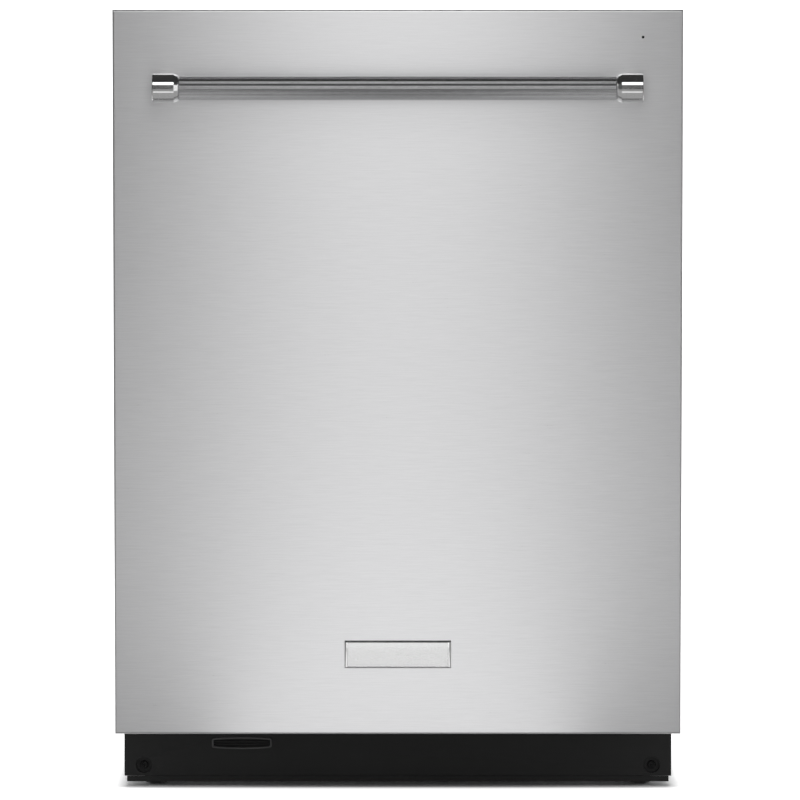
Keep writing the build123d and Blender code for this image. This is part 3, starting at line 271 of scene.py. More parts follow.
def finish_piece(name, shape, material, body="cabinet", stands_for=(), edge=0.0, crease=32.0):
    """Makes a piece of a bmesh: welded, faces outwards, smooth up to the crease angle, its corners softened."""
    bmesh.ops.remove_doubles(shape, verts=shape.verts, dist=1e-6)
    bmesh.ops.recalc_face_normals(shape, faces=shape.faces)
    mesh = bpy.data.meshes.new(name)
    shape.to_mesh(mesh)
    shape.free()
    mesh.polygons.foreach_set("use_smooth", [True] * len(mesh.polygons))
    mesh.set_sharp_from_angle(angle=math.radians(crease))
    mesh.materials.append(material)
    piece = bpy.data.objects.new(name, mesh)
    scene.collection.objects.link(piece)
    if edge:
        rounding = piece.modifiers.new("rounding", "BEVEL")
        rounding.width, rounding.segments, rounding.limit_method = edge * mm, 2, "ANGLE"
        rounding.angle_limit = math.radians(crease)
        rounding.harden_normals = True
    return enrol(piece, body, stands_for)


def welded(node):
    """A CAD node's own mesh, with the triangles of its flat faces joined."""
    shape = bmesh.new()
    shape.from_mesh(nodes[node].data)
    bmesh.ops.remove_doubles(shape, verts=shape.verts, dist=1e-6)
    bmesh.ops.dissolve_limit(shape, angle_limit=math.radians(0.5), verts=shape.verts, edges=shape.edges)
    return shape


door_steel = metal("brushed_stainless_304", "#e4e4e5", 0.30, (30.0, 1.0, 1.0), 0.012, shade=0.09,
                   Anisotropic=0.30, Anisotropic_Rotation=0.25)
fold_radius, near_enough = 1.8 * mm, 0.1 * mm
low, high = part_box("door_outer_panel")
shape = welded("door_outer_panel")
folds = [edge for edge in shape.edges if edge.calc_face_angle(0.0) > 1.0 and all(
    abs(v.co.y - low[1]) < near_enough
    and min(high[0] - abs(v.co.x), high[2] - v.co.z, v.co.z - low[2]) < near_enough for v in edge.verts)]
bmesh.ops.bevel(shape, geom=folds, offset=fold_radius, segments=5, profile=0.5, affect="EDGES",
                clamp_overlap=False)
finish_piece("folded_door_skin", shape, door_steel, "door", ["door_outer_panel"], crease=0.5)


# Handle bar: a stainless tube, 25.4 mm across, rolled with a fine diamond knurl along its whole length.
# The real knurl has a pitch of 1.2 mm. It is drawn at 2.5 mm, so that the diamonds show from across a room.
def spot(x, depth, z):
    """A place in metres, from millimetres right of the middle, behind the door's face and above the floor."""
    return (x * mm, behind(depth), z * mm)


def box_of(node):
    """A CAD node's lowest and highest corner in millimetres, measured as spot takes them."""
    return [(x / mm, (y - door_front) / mm, z / mm) for x, y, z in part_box(node)]


knurled_steel = metal("knurled_stainless", "#bdbdbe", 0.2, (1.6, 1.6, 1.6), 0.004, shade=0.5)
low, high = box_of("handle_bar")
bar_depth, bar_z, bar_radius = (low[1] + high[1]) / 2, (low[2] + high[2]) / 2, (high[2] - low[2]) / 2
knurl_pitch, knurl_rise, knurl_cut = 2.5, 3.3, 0.3
neck_start, neck_cut = 230.0, 0.9
steps = 2 * round((high[0] - low[0]) / knurl_pitch)
around = 2 * round(2 * math.pi * bar_radius / knurl_rise)
shape = bmesh.new()
rings = []
for i in range(steps + 1):
    x = low[0] + (high[0] - low[0]) * i / steps
    ring = []
    for j in range(around):
        turn = 2 * math.pi * j / around
        cut = neck_cut if abs(x) > neck_start else knurl_cut * ((i + j + 1) % 2)
        r = bar_radius - cut
        ring.append(shape.verts.new(spot(x, bar_depth + r * math.cos(turn), bar_z + r * math.sin(turn))))
    rings.append(ring)
for i in range(steps):
    for j in range(around):
        a, b = rings[i][j], rings[i][(j + 1) % around]
        c, d = rings[i + 1][(j + 1) % around], rings[i + 1][j]
        for face in (((a, b, c), (a, c, d)) if (i + j) % 2 == 0 else ((a, b, d), (b, c, d))):
            shape.faces.new(face)
shape.faces.new(rings[0])
shape.faces.new(list(reversed(rings[-1])))
finish_piece("knurled_handle_bar", shape, knurled_steel, "door", ["handle_bar"], crease=4.0)


# Handle ends: turned and polished stainless, each a short cap with a bored post behind it. The cap's outer
# corner is rounded, and its inner corner is chamfered down towards the bar's neck.
def turned(shape, profile, origin, along=(0, 0, 1), steps=48, place=spot):
    """Revolves (distance along, radius) pairs round an axis through origin, all in millimetres."""
    along = Vector(along)
    side = Vector((0, 1, 0)) if along.x else Vector((1, 0, 0))
    up = along.cross(side)
    rings = []
    for distance, radius in profile:
        middle = Vector(place(*origin)) + along * distance * mm
        ring = []
        for k in range(steps if radius else 1):
            turn = 2 * math.pi * k / steps
            ring.append(shape.verts.new(middle + radius * mm * (math.cos(turn) * side + math.sin(turn) * up)))
        rings.append(ring)
    for a, b in zip(rings, rings[1:]):
        for k in range(steps):
            corners = []
            for ring, i in ((a, k), (a, k + 1), (b, k + 1), (b, k)):
                corner = ring[i % len(ring)]
                if corner not in corners:
                    corners.append(corner)
            if len(corners) > 2:
                shape.faces.new(corners)
    for ring in (rings[0], rings[-1]):
        if len(ring) > 1 and profile[0] != profile[-1]:
            shape.faces.new(ring)


polished_steel = metal("polished_stainless", "#ececec", 0.09, (0.8, 6.0, 6.0), 0.004, shade=0.03)
cap_outer, cap_inner, cap_radius, corner, chamfer = 258.5, 231.5, 15.6, 0.9, 4.0
cap_length, neck, bore_depth = cap_outer - cap_inner, bar_radius - 1.1, 7.0
post = [(0, 0), (0, 12.5), (36.0, 12.5), (42.0, 12.5), (42.0, 0)]
shape = bmesh.new()
for side in (-1, 1):
    profile = [(0, 0), (0, cap_radius - 2 * corner)]
    for k in range(5):
        turn = math.radians(22.5 * k)
        profile.append((corner * (1 - math.cos(turn)), cap_radius - corner * (1 - math.sin(turn))))
    profile += [(2 * corner, cap_radius), (cap_length - chamfer - corner, cap_radius),
                (cap_length - chamfer, cap_radius), (cap_length, cap_radius - chamfer / 2), (cap_length, neck),
                (cap_length - bore_depth, neck), (cap_length - bore_depth, 0)]
    turned(shape, profile, (side * cap_outer, bar_depth, bar_z), (-side, 0, 0), 72)
    turned(shape, post, (side * 245.0, 0, bar_z), (0, -1, 0), 56)
finish_piece("turned_handle_ends", shape, polished_steel, "door", ["handle_ends"], crease=24.0)


# Badge plate: a blank cast plate near the door's foot, with a bright raised border round a satin field. Its
# front bows out from top to bottom. It is glued to the door. Nothing is written on it.
def skin(shape, rings, looped=False, capped=False):
    """Joins each ring of points to the next, and the last to the first if looped. Fills the ends if capped."""
    for a, b in zip(rings, rings[1:] + (rings[:1] if looped else [])):
        for k in range(len(a)):
            shape.faces.new((a[k], a[(k + 1) % len(a)], b[(k + 1) % len(a)], b[k]))
    if capped:
        shape.faces.new(rings[0])
        shape.faces.new(rings[-1])


low, high = box_of("badge_plate")
middle, half = (low[2] + high[2]) / 2, (high[2] - low[2]) / 2
border_side, border_level, bow = 3.4, 2.2, 0.9
field_levels = [(k / 6 - 1) * (half - border_level) for k in range(13)]
shape = bmesh.new()
rings = []
for z, cut, sunk in [(-half, 1.2, 0.0), (1.2 - half, 0.0, 0.0), *[(z, 0.0, 0.8) for z in field_levels],
                     (half - 1.9, 0.0, 0.0), (half, 1.9, 0.0)]:
    front = low[1] + bow * (z / half) ** 2 + cut
    ring = [(low[0], high[1]), (low[0], min(front + 1.3, high[1] - 0.1)),
            (low[0] + 0.6, min(front + 0.3, high[1] - 0.15)), (low[0] + 1.7, front),
            (low[0] + border_side - 0.4, front + 0.1), (low[0] + border_side, front + sunk + 0.1)]
    ring += [(-x, y) for x, y in reversed(ring)]
    rings.append([shape.verts.new(spot(x, y, middle + z)) for x, y in ring])
skin(shape, rings, capped=True)
finish_piece("badge_border", shape, polished_steel, "door", ["badge_plate"], crease=40.0)

satin_plate = metal("satin_nickel_plate", "#e4e4e4", 0.28, (8.0, 0.4, 0.4), 0.004, shade=0.03)
field_half = high[0] - border_side - 0.1
shape = bmesh.new()
rings = []
for z in field_levels:
    front = low[1] + bow * (z / half) ** 2 + 0.5
    rings.append([shape.verts.new(spot(x, y, middle + z)) for x, y in (
        (-field_half, front), (field_half, front), (field_half, front + 1.0), (-field_half, front + 1.0))])
skin(shape, rings, capped=True)
finish_piece("badge_field", shape, satin_plate, "door")


# Status light: a clear window over a small lamp, flush in the door's top corner, dark while the machine is off.
# Smoked acrylic is nearly black and very glossy.
def plastic(name, colour, roughness, grain, depth=0.02, shade=0.05, **shader):
    """A moulded or painted surface. grain is the size of its texture, in millimetres."""
    material, tree = empty_tree(name)
    place = add(tree, "ShaderNodeTexCoord").outputs["Object"]
    fine = add(tree, "ShaderNodeTexNoise", {"Vector": place, "Scale": 1000.0 / grain, "Detail": 2.0})
    broad = add(tree, "ShaderNodeTexNoise", {"Vector": place, "Scale": 14.0, "Detail": 2.0}).outputs["Fac"]
    bump = add(tree, "ShaderNodeBump", {"Height": fine.outputs["Fac"], "Strength": 0.3, "Distance": depth * mm})
    body = add(tree, "ShaderNodeBsdfPrincipled", {
        **vary(tree, broad, colour, roughness, shade), "Normal": bump.outputs[0], "IOR": 1.5,
        **{key.replace("_", " "): value for key, value in shader.items()}})
    add(tree, "ShaderNodeOutputMaterial", {"Surface": body.outputs[0]})
    return material


def dress(node, material, edge=0.0):
    """A CAD node in its finish, with its corners softened. It stands for the node, on the node's body."""
    return finish_piece(node + "_finished", welded(node), material, nodes[node]["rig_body"], [node], edge)


smoked_lens = plastic("smoked_acrylic", "#1c1c1c", 0.12, 3.0, 0.002, Coat_Weight=0.6)
dress("status_light", smoked_lens)


# Toe kick: a folded steel access panel, powder coated satin black, held by a screw in each lower corner.
# A barrel-shaped vent with a raised lip is pressed through it. The plate behind it slides down to the floor.
black_paint = plastic("black_powder_coat", "#272727", 0.5, 0.35, shade=0.03, Specular_IOR_Level=0.2)
# The vent's lip is painted a lighter grey than the panel: a painted highlight along its raised edge.
lip_highlight_paint = plastic("black_powder_coat_lip_highlight", "#474747", 0.42, 0.35)
dress("access_panel", black_paint, 0.4)
dress("lower_kick_plate", black_paint, 0.3)
vent_x, vent_z = -170.0, 47.0


def barrel_outline(half_width, half_height, bulge, corner):
    """Points round a bar whose long sides bow outwards, with small rounded corners."""
    points = []
    for cx, cz, start in ((1, 1, 0), (-1, 1, 90), (-1, -1, 180), (1, -1, 270)):
        for k in range(5):
            turn = math.radians(start + 90 * k / 4)
            points.append((cx * (half_width - corner) + corner * math.cos(turn),
                           cz * (half_height - bulge - corner) + corner * math.sin(turn)))
        if start in (0, 180):
            for k in range(1, 16):
                x = cx * (half_width - corner) * (1 - 2 * k / 16)
                points.append((x, cx * (half_height - bulge * (x / half_width) ** 2)))
    return points


shape = bmesh.new()
rings = []
for wider, sunk in ((-0.2, -1.1), (0.2, -0.7), (0.2, 0.4), (-1.75, 1.3), (-1.75, -0.8), (-1.4, -1.1)):
    outline = barrel_outline(32.5 + wider, 6.5 + wider, 1.4, max(2.2 + wider, 0.8))
    rings.append([shape.verts.new(spot(vent_x + x, kick_depth + sunk, vent_z + z)) for x, z in outline])
skin(shape, rings, looped=True)
finish_piece("vent_lip", shape, lip_highlight_paint, crease=40.0)


def local(x, y, z):
    """A place in metres from millimetres, for a small shape that is set elsewhere afterwards."""
    return (x * mm, y * mm, z * mm)


def slab(shape, low, high, place=spot):
    """A block from its lowest to its highest corner, in millimetres."""
    skin(shape, [[shape.verts.new(place(x, y, z)) for x, z in (
        (low[0], low[2]), (high[0], low[2]), (high[0], high[2]), (low[0], high[2]))]
        for y in (low[1], high[1])], capped=True)


# The louvres and the plate behind them are painted near black, darker than the panel: painted shade inside the
# vent.
shape = bmesh.new()
for k in range(4):
    slat_z = vent_z - 4.2 + 2.8 * k
    slab(shape, (vent_x - 30.0, kick_depth + 1.6, slat_z - 0.4), (vent_x + 30.0, kick_depth + 4.6, slat_z + 0.4))
slab(shape, (vent_x - 31.5, kick_depth + 4.6, vent_z - 7.0), (vent_x + 31.5, kick_depth + 5.6, vent_z + 7.0))
louvre_painted_shade = plastic("vent_painted_shade_black", "#0b0b0b", 0.6, 0.9)
finish_piece("vent_louvre", shape, louvre_painted_shade)


def start_tree(name, inputs):
    """A Geometry Nodes tree, with an input of each (label, kind) pair, and its input node."""
    tree = bpy.data.node_groups.new(name, "GeometryNodeTree")
    for label, kind in inputs:
        tree.interface.new_socket(label, in_out="INPUT", socket_type="NodeSocket" + kind)
    tree.interface.new_socket("Made", in_out="OUTPUT", socket_type="NodeSocketGeometry")
    return tree, add(tree, "NodeGroupInput").outputs


def end_tree(tree, made, finish):
    """Makes real geometry of what the tree made, in its finish, and hands it out."""
    real = add(tree, "GeometryNodeRealizeInstances", {0: made.outputs[0]})
    done = add(tree, "GeometryNodeSetMaterial", {"Geometry": real.outputs[0], "Material": finish})
    add(tree, "NodeGroupOutput", {0: done.outputs[0]})


def grow(name, mesh, tree, inputs, body, stands_for=()):
    """Runs a Geometry Nodes tree on a mesh of points or lines, and keeps its result as a piece."""
    piece = bpy.data.objects.new(name, mesh)
    scene.collection.objects.link(piece)
    modifier = piece.modifiers.new("growth", "NODES")
    modifier.node_group = tree
    for item in tree.interface.items_tree:
        if item.in_out == "INPUT" and item.name in inputs:
            modifier[item.identifier] = inputs[item.name]
    bpy.context.view_layer.update()
    grown = piece.evaluated_get(bpy.context.evaluated_depsgraph_get())
    result = bpy.data.meshes.new_from_object(grown)
    piece.modifiers.remove(modifier)
    result.name = name
    piece.data = result
    return enrol(piece, body, stands_for)


set_on_places, given = start_tree("set_on_places", (
    ("Places", "Geometry"), ("Shape", "Object"), ("Finish", "Material")))
thing = add(set_on_places, "GeometryNodeObjectInfo", {"Object": given["Shape"]})
turn = add(set_on_places, "GeometryNodeInputNamedAttribute", {"Name": "turn"}, data_type="FLOAT_VECTOR")
spin = add(set_on_places, "FunctionNodeEulerToRotation", {0: turn.outputs["Attribute"]})
several = add(set_on_places, "GeometryNodeInstanceOnPoints", {
    "Points": given["Places"], "Instance": thing.outputs["Geometry"], "Rotation": spin.outputs[0]})
end_tree(set_on_places, several, given["Finish"])


def repeat(name, shape, points, material, body="cabinet", turns=((0, 0, 0),)):
    """Sets one small shape on every point, turned by each of the turns in order, and makes it one piece."""
    bmesh.ops.recalc_face_normals(shape, faces=shape.faces)
    one = bpy.data.meshes.new("one")
    shape.to_mesh(one)
    shape.free()
    one.polygons.foreach_set("use_smooth", [True] * len(one.polygons))
    one.set_sharp_from_angle(angle=math.radians(30.0))
    sample = bpy.data.objects.new("one", one)
    places = bpy.data.meshes.new(name + "_places")
    places.from_pydata([spot(*point) for point in points], [], [])
    angles = places.attributes.new("turn", "FLOAT_VECTOR", "POINT")
    angles.data.foreach_set("vector", [v for k in range(len(points)) for v in turns[k % len(turns)]])
    grow(name, places, set_on_places, {"Shape": sample, "Finish": material}, body)
    bpy.data.objects.remove(sample)


def screw_head(radius, height):
    """A pan-head screw that points along -Y, with a cross recess, standing on the plane y = 0."""
    shape = bmesh.new()
    rings = []
    turns = [2 * math.pi * k / 24 for k in range(24)]
    for rise, part in ((0.0, 1.0), (0.35, 1.0), (0.75, 0.86), (1.0, 0.55)):
        h, r = rise * height, part * radius
        rings.append([shape.verts.new(local(r * math.cos(turn), -h, r * math.sin(turn))) for turn in turns])
    skin(shape, rings)
    shape.faces.new(rings[0])
    arm, half = 0.42 * radius, 0.11 * radius
    cross = [(half, half), (half, arm), (-half, arm), (-half, half), (-arm, half), (-arm, -half),
             (-half, -half), (-half, -arm), (half, -arm), (half, -half), (arm, -half), (arm, half)]
    top, bottom = [[shape.verts.new(local(x * scale, -deep * height, z * scale)) for x, z in cross]
                   for scale, deep in ((1.0, 1.0), (0.6, 0.35))]
    skin(shape, [top, bottom])
    shape.faces.new(bottom)
    rim = [edge for edge in shape.edges if len(edge.link_faces) == 1]
    bmesh.ops.triangle_fill(shape, use_beauty=True, edges=rim)
    return shape


kick_screw = plastic("black_oxide_screw", "#161616", 0.32, 1.5, 0.01, Metallic=0.7)
repeat("toe_kick_screws", screw_head(4.6, 2.2), [(side * 276.5, kick_depth + 3.5, 23.0) for side in (-1, 1)],
       kick_screw, turns=((0, -0.3, 0), (0, 0.3, 0)))


# Levelling feet: a zinc-plated steel stud through each base rail, with a six-sided moulded foot.
# A wrench turns it. Its underside is rounded, so that it slides on a kitchen floor.
zinc = metal("zinc_plated_steel", "#aeb0b0", 0.38, (1.5, 1.5, 1.5), 0.01)
foot_plastic = plastic("moulded_black_nylon", "#1b1b1c", 0.45, 0.9)
for node in ("foot_front_left", "foot_front_right", "foot_rear_left", "foot_rear_right"):
    low, high = box_of(node)
    base = ((low[0] + high[0]) / 2, (low[1] + high[1]) / 2, 0)
    shape = bmesh.new()
    turned(shape, [(0, 9.6), (1.2, 12.2), (3.0, 12.5), (7.0, 12.5), (8.0, 11.4)], base, steps=6)
    finish_piece(node + "_pad", shape, foot_plastic, node, [node], 0.5, 20)
    shape = bmesh.new()
    thread = [(7.9, 4.0)]
    for k in range(40):
        thread += [(8.2 + 1.25 * k, 4.1), (8.8 + 1.25 * k, 4.9)]
    turned(shape, thread + [(58.0, 4.0)], base, steps=16)
    finish_piece(node + "_stud", shape, zinc, node)


# Control strip: moulded black ABS along the door's top edge, hidden while the door is shut. Four silicone-topped
# keys and five small lamp windows are set in it, and the latch's steel claw in the middle. No words are on it.
black_abs = plastic("moulded_black_abs", "#1a1a1b", 0.42, 0.8, 0.03)
key_top = plastic("satin_black_key", "#2b2b2d", 0.30, 2.0, 0.005)
dress("control_strip", black_abs, 0.3)
for node in ("power_key", "cycle_key", "options_key", "start_key"):
    dress(node, key_top, 0.25)
strip_top = box_of("control_strip")[1][2]
window = bmesh.new()
turned(window, [(0, 1.6), (0.35, 1.6), (0.6, 1.2), (0.6, 0)], (0, 0, 0), steps=12, place=local)
lamp_lens = plastic("milky_lamp_window", "#d8dadb", 0.2, 2.0, 0.003)
repeat("lamp_windows", window, [(x, 30, strip_top - 0.05) for x in (-172, -92, -72, 92, 172)],
       lamp_lens, "door")

latch_steel = metal("zinc_plated_latch", "#b5b3a8", 0.3, (2.0, 2.0, 2.0), 0.006)
dress("door_latch", black_abs, 0.4)
low, high = box_of("door_latch")
shape = bmesh.new()
for x in (-16.0, 16.0):
    slab(shape, (x - 2.0, high[1] - 0.1, low[2] + 2.0), (x + 2.0, high[1] + 0.9, high[2] - 2.0))
finish_piece("latch_claws", shape, latch_steel, "door", edge=0.3)


# Door liner: one drawn sheet of type 304 stainless, left bright from the rolling mill. It is screwed to the
# outer panel's folds, and its plain margins carry the lower rack's wheels when the door lies open.
mill_steel = metal("mill_finish_stainless_304", "#bcbdbe", 0.24, (0.9, 22.0, 22.0), 0.004, shade=0.04)
dress("door_liner", mill_steel, 0.5)
zinc_screw = metal("zinc_plated_screw", "#b9bab8", 0.3, (1.2, 1.2, 1.2), 0.006)
flange_depth = box_of("door_liner")[0][1] + 1.0
points = [(x, flange_depth, z) for x in (-293.5, 293.5) for z in (170, 300, 430, 560, 690, 790)]
repeat("liner_screws", screw_head(3.8, 2.0), points, zinc_screw, "door", [(0, 0, math.pi)])


# Detergent dispenser: a box of moulded grey polypropylene with a sliding lid over the powder cup, and a
# rinse-aid cap that turns a quarter. A soft seal runs round the cup, and ribs in its floor mark the dose.
grey_pp = plastic("moulded_grey_polypropylene", "#8e9296", 0.42, 0.9, 0.03)
pale_pp = plastic("moulded_pale_polypropylene", "#c3c6c8", 0.38, 0.9)
dress("dispenser_housing", grey_pp, 0.4)
dress("dispenser_lid", pale_pp, 0.5)
dress("rinse_aid_cap", pale_pp, 0.4)
shape = bmesh.new()
for z in (372, 383, 394, 405, 416):
    slab(shape, (-57.5, 34.2, z - 0.6), (-2.5, 37.0, z + 0.6))
for z in (348, 440):
    slab(shape, (20, 55.8, z - 1), (108, 57.0, z + 1))
finish_piece("dispenser_ribs", shape, grey_pp, "door", edge=0.3)
spout = bmesh.new()
turned(spout, [(0, 2.6), (0.9, 2.6), (1.3, 2.2), (1.3, 1.2), (0.3, 1.2)], (0, 0, 0), (0, 1, 0), 12, local)
repeat("dispenser_drain_holes", spout, [(x, 55.9, 362) for x in (70, 92, 106)], grey_pp, "door")


# Hinges: laser-cut and zinc-plated steel. The arms are screwed to the liner's flange and turn on the pins of
# the base brackets. A tension spring on each side carries the door's weight.
plated_steel = metal("bright_zinc_plated_steel", "#a9aba9", 0.33, (1.2, 1.2, 1.2), 0.008, shade=0.08)
dress("hinge_arms", plated_steel, 0.3)
dress("hinge_brackets", plated_steel, 0.3)

bent_wire, given = start_tree("bent_wire", (
    ("Routes", "Geometry"), ("Thickness", "Float"), ("Bend", "Float"), ("Sides", "Int"), ("Finish", "Material")))
line = add(bent_wire, "GeometryNodeMeshToCurve", {"Mesh": given["Routes"]})
soft = add(bent_wire, "GeometryNodeFilletCurve", {
    "Curve": line.outputs[0], "Radius": given["Bend"], "Limit Radius": True, "Count": 4}, mode="POLY")
half = add(bent_wire, "ShaderNodeMath", {0: given["Thickness"], 1: 0.5}, operation="MULTIPLY")
ring = add(bent_wire, "GeometryNodeCurvePrimitiveCircle", {
    "Resolution": given["Sides"], "Radius": half.outputs[0]})
tube = add(bent_wire, "GeometryNodeCurveToMesh", {
    "Curve": soft.outputs[0], "Profile Curve": ring.outputs[0], "Fill Caps": True})
end_tree(bent_wire, tube, given["Finish"])


def lay_wire(name, routes, thickness, bend, material, body="cabinet", stands_for=(), sides=8, closed=()):
    """Lays round wire along each route of points, with its bends rounded. closed holds the routes that close."""
    shape = bmesh.new()
    for points in [*routes, *closed]:
        line = [shape.verts.new(spot(*point)) for point in points]
        for a, b in zip(line, line[1:] + (line[:1] if points in closed else [])):
            shape.edges.new((a, b))
    mesh = bpy.data.meshes.new(name + "_routes")
    shape.to_mesh(mesh)
    shape.free()
    inputs = {"Thickness": thickness * mm, "Bend": bend * mm, "Sides": sides, "Finish": material}
    return grow(name, mesh, bent_wire, inputs, body, stands_for)


spring_steel = metal("oiled_spring_steel", "#6f6e6c", 0.34, (1.0, 1.0, 1.0), 0.006)
spring_z, coil_start, coil_length, coil_radius, coil_turns, coil_steps = 116.0, 171.0, 148.0, 6.9, 54, 10
routes = []
for side in (-1, 1):
    points = [(side * 288.0, 104, spring_z), (side * 288.0, 158, spring_z)]
    for k in range(coil_turns * coil_steps + 1):
        turn = 2 * math.pi * k / coil_steps
        points.append((side * 280.5 + coil_radius * math.cos(turn),
                       coil_start + coil_length * k / (coil_turns * coil_steps),
                       spring_z + coil_radius * math.sin(turn)))
    points += [(side * 289.0, 322, spring_z), (side * 289.0, 333, spring_z)]
    routes.append(points)
lay_wire("spring_coils", routes, 2.2, 0.0, spring_steel, stands_for=["door_springs"], sides=6)


# Tub: stainless sheet, seam-welded from a wrapper, a pressed rear panel, a floor pan and the folded front frame.
# The walls keep the mill's bright finish, drawn from front to rear; only the frame around the mouth is brushed.
wall_steel = metal("mill_finish_tub_wall", "#b4b6b7", 0.26, (30.0, 1.4, 1.4), 0.004, shade=0.05)
floor_steel = metal("drawn_stainless_pan", "#b0b2b3", 0.3, (1.6, 26.0, 26.0), 0.006, shade=0.05)
frame_steel = metal("brushed_front_frame", "#bfc0c0", 0.3, (30.0, 0.8, 0.8), 0.006)
dress("tub_wrapper", wall_steel)
dress("tub_rear_panel", wall_steel, 0.8)
dress("tub_floor", floor_steel, 0.4)
dress("tub_front_frame", frame_steel, 0.5)
frame_depth = box_of("tub_front_frame")[0][1]
points = [(x, frame_depth, z) for x in (-284.5, 284.5) for z in (190, 480, 770)]
repeat("frame_screws", screw_head(3.6, 0.9), points, zinc_screw)


# Door gasket: extruded black EPDM rubber, pushed into the front frame's groove as one loop. A round bulb faces
# the door, and two small lips lie beside it. Its butt joint is at the bottom.
rubber = plastic("extruded_epdm_rubber", "#18181a", 0.6, 0.5, 0.03)
section = [(0.0, 57.8), (0.0, 56.4), (0.9, 55.4), (1.6, 56.4), (2.2, 56.4)]
for angle in range(180, -1, -20):
    section.append((5.5 + 3.2 * math.cos(math.radians(angle)), 55.7 - 3.1 * math.sin(math.radians(angle))))
section += [(8.8, 56.4), (9.4, 56.4), (10.1, 55.4), (11.0, 56.4), (11.0, 57.8)]
bend, bend_steps = 24.0, 8
right, low_bend, high_bend = 284.0 - bend, 116.0 + bend, 819.0 - bend
shape = bmesh.new()
rings = []
for x, z, start in (
        (right, high_bend, 0), (-right, high_bend, 90), (-right, low_bend, 180), (right, low_bend, 270)):
    for k in range(bend_steps + 1):
        turn = math.radians(start + 90 * k / bend_steps)
        rings.append([shape.verts.new(spot(
            x + (bend - inset) * math.cos(turn), depth, z + (bend - inset) * math.sin(turn)))
            for inset, depth in section])
skin(shape, rings, looped=True)
finish_piece("gasket_loop", shape, rubber, stands_for=["tub_gasket"], crease=50.0)


# Insulation blanket: needled felt of recycled cotton, 13 mm thick, folded over the tub as one long mat and
# pinned to it, with a second mat across the rear. It swells between its pins and thins at its cut edges.
felt, tree = empty_tree("needled_cotton_felt")
place = add(tree, "ShaderNodeTexCoord").outputs["Object"]
fibres = add(tree, "ShaderNodeTexNoise", {
    "Vector": place, "Scale": 700.0, "Detail": 4.0, "Roughness": 0.7, "Distortion": 1.2}).outputs["Fac"]
clumps = add(tree, "ShaderNodeTexNoise", {
    "Vector": place, "Scale": 55.0, "Detail": 5.0, "Roughness": 0.7}).outputs["Fac"]
flecks = add(tree, "ShaderNodeTexVoronoi", {"Vector": place, "Scale": 130.0}).outputs["Distance"]
patch = add(tree, "ShaderNodeMapRange", {"Value": clumps, "From Min": 0.35, "From Max": 0.75}).outputs[0]
fleck = add(tree, "ShaderNodeMapRange", {"Value": flecks, "From Min": 0.22, "From Max": 0.12}).outputs[0]
tone = paint("#232427")
for factor, colour in ((fibres, "#5f6164"), (patch, "#6e6f72"), (fleck, "#a89f90")):
    tone = add(tree, "ShaderNodeMix", {0: factor, 6: tone, 7: paint(colour)}, data_type="RGBA").outputs[2]
height = add(tree, "ShaderNodeMath", {0: fibres, 1: clumps}, operation="ADD")
bump = add(tree, "ShaderNodeBump", {"Height": height.outputs[0], "Strength": 0.9, "Distance": 1.2 * mm})
cloth = add(tree, "ShaderNodeBsdfPrincipled", {
    "Base Color": tone, "Roughness": 0.95, "Sheen Weight": 0.35, "Sheen Roughness": 0.5,
    "Normal": bump.outputs[0]})
add(tree, "ShaderNodeOutputMaterial", {"Surface": cloth.outputs[0]})

felt_thickness, felt_gap, rim_width, pin_reach = 13.0 * mm, 0.4 * mm, 0.02, 0.016


def mat(name, rows, columns, place, pins, stands_for=()):
    """A closed felt mat. place(u, v, h) gives a point at u, v in metres on the mat, h above its inner face."""
    shape = bmesh.new()
    sheets = []
    for outer in (0, 1):
        grid = []
        for u in rows:
            line = []
            for v in columns:
                rim = min(u - rows[0], rows[-1] - u, v - columns[0], columns[-1] - v)
                swell = 0.55 + 0.45 * min(1.0, rim / rim_width) ** 0.5
                swell -= sum(0.3 * math.exp(-((u - pu) ** 2 + (v - pv) ** 2) / pin_reach ** 2)
                             for pu, pv in pins)
                ripple = 0.06 * noise.noise(Vector((u * 14, v * 14, 3.0 + outer)))
                ripple += 0.03 * noise.noise(Vector((u * 60, v * 60, 9.0)))
                high = felt_thickness * max(0.2, min(1.0, swell - 0.06 + ripple))
                line.append(shape.verts.new(place(u, v, high if outer else felt_gap)))
            grid.append(line)
        sheets.append(grid)
        for a, b in zip(grid, grid[1:]):
            for k in range(len(columns) - 1):
                shape.faces.new((a[k], a[k + 1], b[k + 1], b[k]))
    last_row, last_column = len(rows) - 1, len(columns) - 1
    rim = [(0, k) for k in range(last_column)] + [(i, last_column) for i in range(last_row)]
    rim += [(last_row, k) for k in range(last_column, 0, -1)] + [(i, 0) for i in range(last_row, 0, -1)]
    skin(shape, [[sheet[i][k] for i, k in rim] for sheet in sheets])
    piece = finish_piece(name, shape, felt, stands_for=stands_for, crease=60.0)


inside_x, inside_top, inside_turn = 277.4 * mm, 813.4 * mm, 27.0 * mm
mat_bottom, mat_front, mat_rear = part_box("insulation_blanket")[0][2], behind(76.0), behind(598.0)
rise = inside_top - inside_turn - mat_bottom
bend = math.pi / 2 * inside_turn
length = 2 * (rise + bend + inside_x - inside_turn)


def over_the_tub(u, v, h):
    """A point of the long mat: up the left side, over the top and down the right side."""
    side = -1 if u < length / 2 else 1
    along, out = min(u, length - u), inside_turn + h
    if along < rise:
        return (side * (inside_x + h), v, mat_bottom + along)
    if along < rise + bend:
        turn = (along - rise) / inside_turn
        return (side * (inside_x - inside_turn + out * math.cos(turn)), v,
                inside_top - inside_turn + out * math.sin(turn))
    return (side * (length / 2 - along), v, inside_top + h)


rows = [length * k / 210 for k in range(211)]
columns = [mat_front + (mat_rear - mat_front) * k / 64 for k in range(65)]
pins = [(u, v) for v in (mat_front + 0.06, (mat_front + mat_rear) / 2, mat_rear - 0.06)
        for u in (0.10, 0.38, rise - 0.06, length / 2, length - rise + 0.06, length - 0.38, length - 0.10)]
mat("wrapped_felt_mat", rows, columns, over_the_tub, pins, ["insulation_blanket"])

